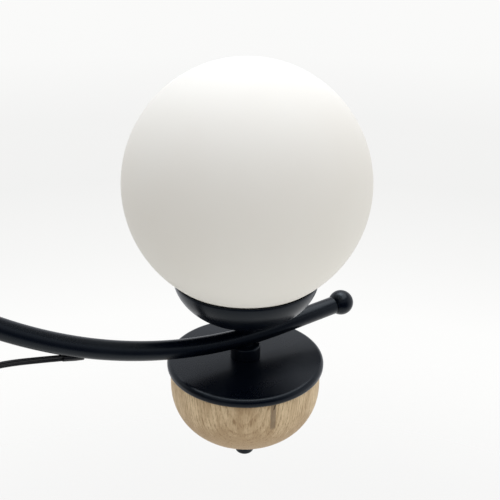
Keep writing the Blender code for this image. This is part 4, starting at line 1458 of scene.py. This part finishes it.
@dataclass
class Column:
    """Hub, hub cap, column tube, junction sleeve and down rod."""

    finishes: Finishes
    centre: Station
    headings: Sequence[float]
    hub_edge: float = 0.002
    rod_wall: float = 0.0016
    rod_engagement: float = 0.009
    cap_radius: float = 0.013
    cap_rim: float = 0.0009
    cap_edge: float = 0.0002
    cap_steps: int = 16
    tube_radius: float = 0.0099
    tube_wall: float = 0.002
    sleeve_radius: float = 0.018
    sleeve_wall: float = 0.0015
    sleeve_edge: float = 0.003
    gland_radius: float = 0.0035
    gland_edge: float = 0.0009
    gland_bore: float = 0.0017
    gland_height: float = 0.025
    gland_length: float = 0.011
    collar_rise: float = 0.001
    collar_span: Span = (-0.0008, 0.0012)

    @staticmethod
    def spoke(
        name: str, radius: float, heading: float, height: float, start: float, end: float
    ) -> Workpiece:
        """Round bar along a heading, between two distances from the column's axis."""
        along = Vector((math.cos(heading), math.sin(heading), 0))
        base = Vector((0, 0, height))
        return bar(name, radius, base + along * start, base + along * end)

    def hub(self) -> Workpiece:
        """Turned hub with a socket for each arm and for the down rod."""
        low, high = self.centre.levels("hub")
        socket = TUBE_RADIUS + SEAT_GAP
        floor = high - self.rod_engagement - SEAT_GAP
        corners = [
            (socket, high),
            (HUB_RADIUS, high, self.hub_edge),
            (HUB_RADIUS, low, self.hub_edge),
            (ROD_BORE, low),
            (ROD_BORE, floor),
            (socket, floor),
        ]
        piece = turned("hub_body", closed(corners, 8))
        start, end = HUB_RADIUS - HUB_ENGAGEMENT - SEAT_GAP, HUB_RADIUS + CUT_OVERRUN
        for heading in self.headings:
            cutter = self.spoke("socket", TUBE_RADIUS + SEAT_GAP / 2, heading, (low + high) / 2, start, end)
            piece.combine(cutter)
        return piece.smooth()

    def cap(self) -> Workpiece:
        """Domed cap around the down rod, on the hub."""
        low, high = self.centre.levels("hub_cap")
        bore = TUBE_RADIUS + SEAT_GAP / 2
        rim = bore + self.cap_rim
        reach = self.cap_radius - rim
        outline = [(bore, low - SEAT_GAP), (bore, high - self.cap_edge), (bore + self.cap_edge, high)]
        for step in range(self.cap_steps + 1):
            angle = math.pi / 2 * (1 - step / self.cap_steps)
            outline.append((rim + reach * math.cos(angle), low + (high - low) * math.sin(angle)))
        return turned("hub_dome_cap", closed([*outline, (self.cap_radius, low - SEAT_GAP)]), NARROW_STEPS)

    def tube(self) -> Workpiece:
        """Column tube between the sleeve and the hub."""
        low, high = self.centre.levels("column_tube")
        radius = self.tube_radius
        outline = tube_outline(radius, radius - self.tube_wall, low - SEAT_GAP, high + SEAT_GAP)
        return turned("column_pipe", outline, NARROW_STEPS)

    def sleeve(self) -> Workpiece:
        """Junction sleeve with a round gland for each cord."""
        high = self.centre.levels("junction_sleeve")[1]
        radius, wall = self.sleeve_radius, self.sleeve_wall
        inner = radius - wall
        corners = [
            (ROD_BORE, high),
            (radius, high, self.sleeve_edge),
            (radius, 0.0, SEAT_GAP),
            (inner, 0.0),
            (inner, high - wall, wall),
            (ROD_BORE, high - wall),
        ]
        piece = turned("cord_sleeve", closed(corners, 8))
        face = inner + self.gland_length
        near_face = face - MERGE_DISTANCE
        collar_radius = self.gland_radius + self.collar_rise
        collar_start, collar_end = (radius + place for place in self.collar_span)
        bore_start, bore_end = inner - CUT_OVERRUN, face + CUT_OVERRUN
        for heading in self.headings:
            where = heading, self.gland_height
            gland = self.spoke("gland", self.gland_radius, *where, inner + wall / 2, face)
            with gland.editing():
                gland.pick("EDGE", lambda edge: all(end.co.xy.length > near_face for end in edge.verts))
                bpy.ops.mesh.bevel(offset=self.gland_edge, segments=4)
            piece.combine(gland, "UNION")
            piece.combine(self.spoke("collar", collar_radius, *where, collar_start, collar_end), "UNION")
            piece.combine(self.spoke("bore", self.gland_bore, *where, bore_start, bore_end))
        return piece.smooth()

    def down_rod(self) -> Workpiece:
        """Down rod from the ceiling nipple to the hub."""
        outline = tube_outline(TUBE_RADIUS, TUBE_RADIUS - self.rod_wall, *self.centre.levels("down_rod"))
        return turned("ceiling_rod", outline, NARROW_STEPS)

    def build(self) -> None:
        """Make the column and the down rod."""
        shaped = {
            "hub": self.hub(),
            "hub_cap": self.cap(),
            "column_tube": self.tube(),
            "junction_sleeve": self.sleeve(),
            "down_rod": self.down_rod(),
        }
        coat = self.finishes.coat
        parts = [
            Part(piece.object.name, piece, coat, Body.FRAME, Slot.BLACK_METAL, node)
            for node, piece in shaped.items()
        ]
        set_out(parts, self.centre, "black")
        clear_bench(parts)


@dataclass
class CeilingEnd:
    """Canopy and collar, and the bracket, nipple and terminal block that they hide."""

    finishes: Finishes
    station: Station
    canopy_radius: float = 0.060
    canopy_wall: float = 0.0012
    canopy_edge: float = 0.006
    rim_share: float = 0.3
    rod_hole: float = 0.0064
    collar_radius: float = 0.011
    collar_edge: float = 0.002
    grub_radius: float = 0.0015
    grub_recess: float = 0.0006
    grub_socket_radius: float = 0.0009
    grub_socket_depth: float = 0.0012
    bracket_corner: float = 0.0025
    bracket_edge: float = 0.0002
    slot_radius: float = 0.0024
    slot_run: float = 0.0026
    slot_steps: int = 36
    slot_place: float = 0.035
    wire_hole_radius: float = 0.0045
    wire_hole_place: float = 0.017
    nipple_shank: float = 0.0041
    nipple_edge: float = 0.0004
    nipple_end: float = 0.0006
    entry_radius: float = 0.0015
    entry_spacing: float = 0.010
    block_edge: float = 0.0008
    groove_width: float = 0.0012
    groove_height: float = 0.0018
    well_offset: float = 0.003
    well_radius: float = 0.0019
    well_depth: float = 0.0016
    screw_radius: float = 0.0016
    screw_recess: float = 0.0004
    screw_height: float = 0.0012
    slit: tuple[float, float, float] = (0.0036, 0.0005, 0.0008)

    def canopy(self) -> Workpiece:
        """Spun canopy, open towards the ceiling."""
        low, high = self.station.levels("canopy")
        radius, wall, edge = self.canopy_radius, self.canopy_wall, self.canopy_edge
        lip = wall * self.rim_share
        corners = [
            (radius - wall, high),
            (radius, high, lip),
            (radius, low, edge),
            (self.rod_hole, low, lip),
            (self.rod_hole, low + wall),
            (radius - wall, low + wall, edge - wall),
            (radius - wall, high, lip),
            (radius, high),
        ]
        return turned("spun_canopy", closed(rounded(corners, 8)[1:-1]), WIDE_STEPS)

    def collar(self) -> Workpiece:
        """Collar that holds the canopy up, with a hole for its grub screw."""
        low, high = self.station.levels("canopy_collar")
        top = high + SEAT_GAP
        corners = [
            (self.rod_hole, top),
            (self.collar_radius, top, SEAT_GAP),
            (self.collar_radius, low, self.collar_edge),
            (self.rod_hole, low, SEAT_GAP),
        ]
        piece = turned("canopy_stop_collar", closed(corners, 8), NARROW_STEPS)
        middle = Vector((0, 0, (low + high) / 2))
        outer = Vector((0, -self.collar_radius - CUT_OVERRUN, 0))
        piece.combine(bar("grub_hole", self.grub_radius, middle, middle + outer, SMALL_STEPS))
        return piece.smooth()

    def grub_screw(self) -> Workpiece:
        """Grub screw with a hexagon socket, sunk in the collar."""
        low, high = self.station.levels("canopy_collar")
        middle = Vector((0, 0, (low + high) / 2))
        head = middle + Vector((0, -self.collar_radius + self.grub_recess, 0))
        tail = middle + Vector((0, -self.rod_hole - SEAT_GAP, 0))
        piece = bar("canopy_grub_screw", self.grub_radius - SEAT_GAP / 6, tail, head, SMALL_STEPS)
        socket_end = head + Vector((0, self.grub_socket_depth, 0))
        outside = head - Vector((0, CUT_OVERRUN, 0))
        piece.combine(bar("hexagon", self.grub_socket_radius, socket_end, outside, 6))
        return piece.smooth()

    def bracket(self) -> Workpiece:
        """Punched steel bracket with two screw slots and a wire hole."""
        low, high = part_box("ceiling_bracket")
        piece = block("punched_bracket", (low + high) / 2, high - low)
        with piece.editing():
            piece.pick("EDGE", lambda edge: abs((edge.verts[0].co - edge.verts[1].co).z) > MERGE_DISTANCE)
            bpy.ops.mesh.bevel(offset=self.bracket_corner, segments=6)
            piece.pick("EDGE", lambda edge: abs((edge.verts[0].co - edge.verts[1].co).z) < MERGE_DISTANCE)
            bpy.ops.mesh.bevel(offset=self.bracket_edge, segments=2)
        depth = Vector((0, 0, CUT_OVERRUN))
        for sign in (-1, 1):
            centre = Vector((sign * self.slot_place, 0, 0))
            cutter = bar("slot", self.slot_radius, centre - depth, centre + depth, self.slot_steps)
            middle = centre.x
            with cutter.editing():
                for side in (-1, 1):
                    cutter.pick("VERT", lambda vertex: (vertex.co.x - middle) * side > MERGE_DISTANCE)
                    bpy.ops.transform.translate(value=(side * self.slot_run, 0, 0))
            piece.combine(cutter)
        hole = Vector((self.wire_hole_place, 0, 0))
        piece.combine(bar("hole", self.wire_hole_radius, hole - depth, hole + depth))
        return piece.smooth()

    def nipple(self) -> Workpiece:
        """Ceiling nipple: a flange under the bracket and a shank inside the down rod."""
        low, high = self.station.levels("ceiling_nipple")
        flange = self.station.levels("down_rod")[1] + SEAT_GAP
        corners = [
            (0.0, high),
            (TUBE_RADIUS, high, self.nipple_edge),
            (TUBE_RADIUS, flange, self.nipple_edge),
            (self.nipple_shank, flange),
            (self.nipple_shank, low, self.nipple_end),
            (0.0, low),
        ]
        return turned("threadless_nipple", rounded(corners, 4), SLIM_STEPS)

    def wells(self) -> list[Vector]:
        """Mouths of the terminal block's four screw wells."""
        low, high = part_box("terminal_block")
        middle = (low + high) / 2
        return [
            Vector((middle.x + side * self.entry_spacing / 2, middle.y + end * self.well_offset, low.z))
            for side in (-1, 1)
            for end in (-1, 1)
        ]

    def terminals(self) -> Workpiece:
        """Terminal block with two wire entries and a groove between them."""
        low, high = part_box("terminal_block")
        middle = (low + high) / 2
        piece = block("wire_block", middle, high - low)
        with piece.editing():
            bpy.ops.mesh.bevel(offset=self.block_edge, segments=3)
        groove = Vector((self.groove_width, high.y - low.y + CUT_OVERRUN, self.groove_height))
        piece.combine(block("groove", Vector((middle.x, middle.y, low.z)), groove))
        for sign in (-1, 1):
            x = middle.x + sign * self.entry_spacing / 2
            front = Vector((x, low.y - CUT_OVERRUN, middle.z))
            back = Vector((x, high.y + CUT_OVERRUN, middle.z))
            piece.combine(bar("entry", self.entry_radius, front, back, SMALL_STEPS))
        for well in self.wells():
            below = well - Vector((0, 0, CUT_OVERRUN))
            floor = well + Vector((0, 0, self.well_depth))
            piece.combine(bar("well", self.well_radius, below, floor, SMALL_STEPS))
        return piece.smooth()

    def clamp_screws(self) -> Workpiece:
        """Four slotted clamp screws in the terminal block's wells."""
        screws = []
        height = Vector((0, 0, self.screw_height))
        for well in self.wells():
            head = well + Vector((0, 0, self.screw_recess))
            screw = bar("wire_clamp_screws", self.screw_radius, head, head + height, PIN_STEPS)
            screw.combine(block("slit", head, Vector(self.slit)))
            screws.append(screw)
        for screw in screws[1:]:
            screws[0].combine(screw, "UNION")
        return screws[0].smooth()

    def build(self) -> None:
        """Make the ceiling end."""
        coat, zinc, moulding = self.finishes.coat, self.finishes.zinc, self.finishes.moulding
        steel, fixed, sliding = Slot.ZINC_STEEL, Body.CEILING, Body.CANOPY
        parts = [
            Part(piece.object.name, piece, material, body, slot, node)
            for piece, material, body, slot, node in (
                (self.canopy(), coat, sliding, Slot.BLACK_METAL, "canopy"),
                (self.collar(), coat, sliding, Slot.BLACK_METAL, "canopy_collar"),
                (self.grub_screw(), zinc, sliding, steel, ""),
                (self.bracket(), zinc, fixed, steel, "ceiling_bracket"),
                (self.nipple(), zinc, fixed, steel, "ceiling_nipple"),
                (self.terminals(), moulding, fixed, Slot.WHITE_PLASTIC, "terminal_block"),
                (self.clamp_screws(), zinc, fixed, steel, ""),
            )
        ]
        set_out(parts, self.station, "ceiling")
        clear_bench(parts)


@dataclass(frozen=True)
class Lamp:
    """Round soft lamp of the studio."""

    place: tuple[float, float, float]
    size: float
    power: float
    colour: Colour


@dataclass
class Studio:
    """Pale floor far below, soft light from above and the photograph's camera.

    A heading gives the shares of x and y in a direction, and a span is where a smooth step
    starts and ends. Levels are the world's or the floor's brightness.
    """

    station: Station
    sensor_width: float = 36.0
    lens: float = 51.84
    clip_start: float = 0.01
    camera_offset: tuple[float, float, float] = (0.00223, -0.4141, 0.25331)
    camera_pitch: float = math.radians(23.15)
    camera_roll: float = math.radians(0.7)
    key_lamp: Lamp = Lamp((0.14, 0.60, 1.1), 0.9, 9.2, (0.81, 0.90, 1.0))
    horizon_shift: float = 0.8
    horizon_blue: float = 0.992
    horizon_stops: Sequence[tuple[float, float]] = (
        (0.0, 0.93),
        (0.20, 0.985),
        (0.33, 0.985),
        (0.41, 0.93),
        (0.50, 0.885),
        (0.58, 0.895),
        (0.66, 0.95),
        (0.80, 0.965),
        (1.0, 0.96),
    )
    fill_level: float = 0.67
    fill_slant: float = 0.10
    fill_tint: Span = (0.995, 0.95)
    fill_cool: float = 0.06
    fill_cool_span: Span = (-0.1, 0.8)
    overhead_level: float = 0.54
    overhead_span: Span = (0.1, 0.9)
    low_front_heading: Point = (0.05, -1.0)
    low_front_span: Span = (0.35, 0.95)
    low_front_height: float = -0.18
    low_front_reach: Span = (0.15, 0.50)
    low_front_share: float = 0.75
    dark_level: float = 0.03
    dark_heading: Point = (-0.20, -0.98)
    dark_span: Span = (-0.05, 0.5)
    dark_height: float = -0.04
    dark_reach: Span = (0.3, 0.62)
    high_level: float = 0.35
    high_span: Span = (0.50, 0.60)
    softbox_level: float = 3.7
    softbox_lean: float = 0.10
    softbox_span: Span = (0.70, 0.83)
    gloss_tint: Colour = (0.0, 0.35, 1.4)
    gloss_tint_share: float = 0.05
    floor_level: float = -2.2
    floor_radius: float = 3.0
    floor_fade: float = 1.6
    floor_colour: Colour = (0.30, 0.30, 0.297)
    floor_glow: float = 0.56
    floor_far_glow: float = 0.03
    floor_far_span: Span = (0.6, 2.2)
    floor_bounce: float = 1.78
    floor_mirrored: float = 1.25
    floor_left_drop: float = 0.45
    floor_left_span: Span = (-1.4, 0.4)
    floor_light_tint: Colour = (1.0, 0.995, 0.96)
    floor_seen_tint: Colour = (1.0, 1.0, 0.992)

    def camera(self) -> None:
        """Camera at the photograph's angle to the first unit."""
        data = bpy.data.cameras.new("photo_camera")
        data.sensor_width = self.sensor_width
        data.lens = self.lens
        data.clip_start = self.clip_start
        camera = bpy.data.objects.new("photo_camera", data)
        bpy.context.scene.collection.objects.link(camera)
        pitch = Matrix.Rotation(math.pi / 2 - self.camera_pitch, 4, "X")
        roll = Matrix.Rotation(self.camera_roll, 4, "Z")
        place = Matrix.Translation(self.station.axis + Vector(self.camera_offset))
        camera.matrix_world = place @ pitch @ roll
        bpy.context.scene.camera = camera

    @staticmethod
    def rays(graph: Graph) -> tuple[Wire, Wire, Wire]:
        """Masks of the camera, glossy and transmission rays."""
        camera = graph.node("ShaderNodeLightPath", output="Is Camera Ray")
        outputs = camera.socket.node.outputs
        return camera, Wire(graph, outputs["Is Glossy Ray"]), Wire(graph, outputs["Is Transmission Ray"])

    def fill(self, graph: Graph, x: Wire, y: Wire, z: Wire) -> Wire:
        """Soft light of the room: more from above, less from low in front."""
        across, ahead = self.low_front_heading
        low_front = (x * across + y * ahead).ramp(*self.low_front_span)
        low_front = low_front * z.near(self.low_front_height, *self.low_front_reach)
        level = self.fill_level + z.ramp(*self.overhead_span) * self.overhead_level + x * self.fill_slant
        level = level - low_front * (self.fill_level * self.low_front_share)
        green, blue = self.fill_tint
        cool = z.ramp(*self.fill_cool_span) * self.fill_cool
        return graph.join(level, level * green, level * (blue + cool))

    def mirrored(self, graph: Graph, pale: Wire, x: Wire, y: Wire, z: Wire) -> Wire:
        """What gloss shows: a softbox overhead and a dark side behind the camera."""
        across, ahead = self.dark_heading
        dark = (x * across + y * ahead).ramp(*self.dark_span) * z.near(self.dark_height, *self.dark_reach)
        softbox = (z + y * self.softbox_lean).ramp(*self.softbox_span)
        shown = graph.mix(z.ramp(*self.high_span), pale, (self.high_level,) * 3)
        shown = graph.mix(dark, shown, (self.dark_level,) * 3)
        shown = graph.mix(softbox, shown, (self.softbox_level,) * 3)
        return graph.mix(self.gloss_tint_share, shown, self.gloss_tint)

    def world(self) -> None:
        """Near-white world that lights softly and is darker on the camera's side."""
        world = bpy.data.worlds.new("pale_room")
        bpy.context.scene.world = world
        world.use_nodes = True
        graph = Graph(world.node_tree)
        x, y, z = graph.split(graph.node("ShaderNodeTexCoord", output="Generated"))
        blue = self.horizon_blue
        stops = [(position, (level, level, level * blue)) for position, level in self.horizon_stops]
        pale = graph.node("ShaderNodeValToRGB", {"stops": stops}, {"Fac": z + self.horizon_shift})
        camera, glossy, clear = self.rays(graph)
        seen = (camera + glossy + clear).clamped()
        lit = graph.mix(seen, self.fill(graph, x, y, z), self.mirrored(graph, pale, x, y, z))
        graph.feed(graph.tree.nodes["Background"].inputs["Color"], graph.mix(camera, lit, pale))

    def floor(self) -> None:
        """Round pale floor that fades into the world."""
        centre = (self.station.axis.x, self.station.axis.y, self.floor_level)
        piece = Workpiece(
            "studio_floor",
            bpy.ops.mesh.primitive_circle_add,
            vertices=ROUND_STEPS,
            radius=self.floor_radius,
            fill_type="NGON",
            location=centre,
        )
        material, graph = new_material("pale_floor")
        graph.tree.nodes.remove(graph.tree.nodes["Principled BSDF"])
        place = graph.coordinates(centre)
        distance = graph.node("ShaderNodeVectorMath", {"operation": "LENGTH"}, {0: place}, output="Value")
        camera, glossy, _ = self.rays(graph)
        left = 1.0 - graph.split(place)[0].ramp(*self.floor_left_span)
        dimmer = camera * (self.floor_bounce - 1.0)
        dimmer = dimmer + glossy * (self.floor_bounce - self.floor_mirrored + left * self.floor_left_drop)
        glow = self.floor_glow + distance.ramp(*self.floor_far_span) * self.floor_far_glow
        inputs = {
            "Color": graph.mix(camera + glossy, self.floor_light_tint, self.floor_seen_tint),
            "Strength": glow * (self.floor_bounce - dimmer),
        }
        light = graph.node("ShaderNodeEmission", inputs=inputs)
        matt = graph.node("ShaderNodeBsdfDiffuse", inputs={"Color": (*self.floor_colour, 1.0)})
        both = graph.node("ShaderNodeAddShader", inputs={0: matt, 1: light})
        clear = graph.node("ShaderNodeBsdfTransparent")
        fade = distance.ramp(self.floor_fade, self.floor_radius)
        shader = graph.node("ShaderNodeMixShader", inputs={0: fade, 1: both, 2: clear})
        graph.feed(graph.tree.nodes["Material Output"].inputs["Surface"], shader)
        piece.object.data.materials.append(material)

    def hang(self, name: str, lamp: Lamp) -> None:
        """Hang a lamp that shines on the first unit."""
        data = bpy.data.lights.new(name, "AREA")
        data.shape = "DISK"
        data.size = lamp.size
        data.energy = lamp.power
        data.color = lamp.colour
        hung = bpy.data.objects.new(name, data)
        bpy.context.scene.collection.objects.link(hung)
        place = Vector(lamp.place)
        aim = (place - self.station.axis).to_track_quat("Z", "Y").to_matrix().to_4x4()
        hung.matrix_world = Matrix.Translation(place) @ aim

    def build(self) -> None:
        """Set up the studio."""
        bpy.context.scene.view_settings.view_transform = "Standard"
        self.camera()
        self.world()
        self.floor()
        self.hang("key_lamp", self.key_lamp)


def main() -> None:
    """Build the chandelier's looks and its studio."""
    logging.basicConfig(level=logging.INFO, format="%(message)s")
    stations = [Station.of_unit(number) for number in range(1, UNIT_COUNT + 1)]
    centre = Station.of_centre()
    finishes = Finishes()
    Studio(stations[0]).build()
    Arm(finishes, stations).build()
    Foot(finishes, stations, centre).build()
    LampHead(finishes, stations).build()
    Column(finishes, centre, [station.heading for station in stations]).build()
    CeilingEnd(finishes, Station.of_ceiling()).build()


if __name__ == "__main__":
    main()
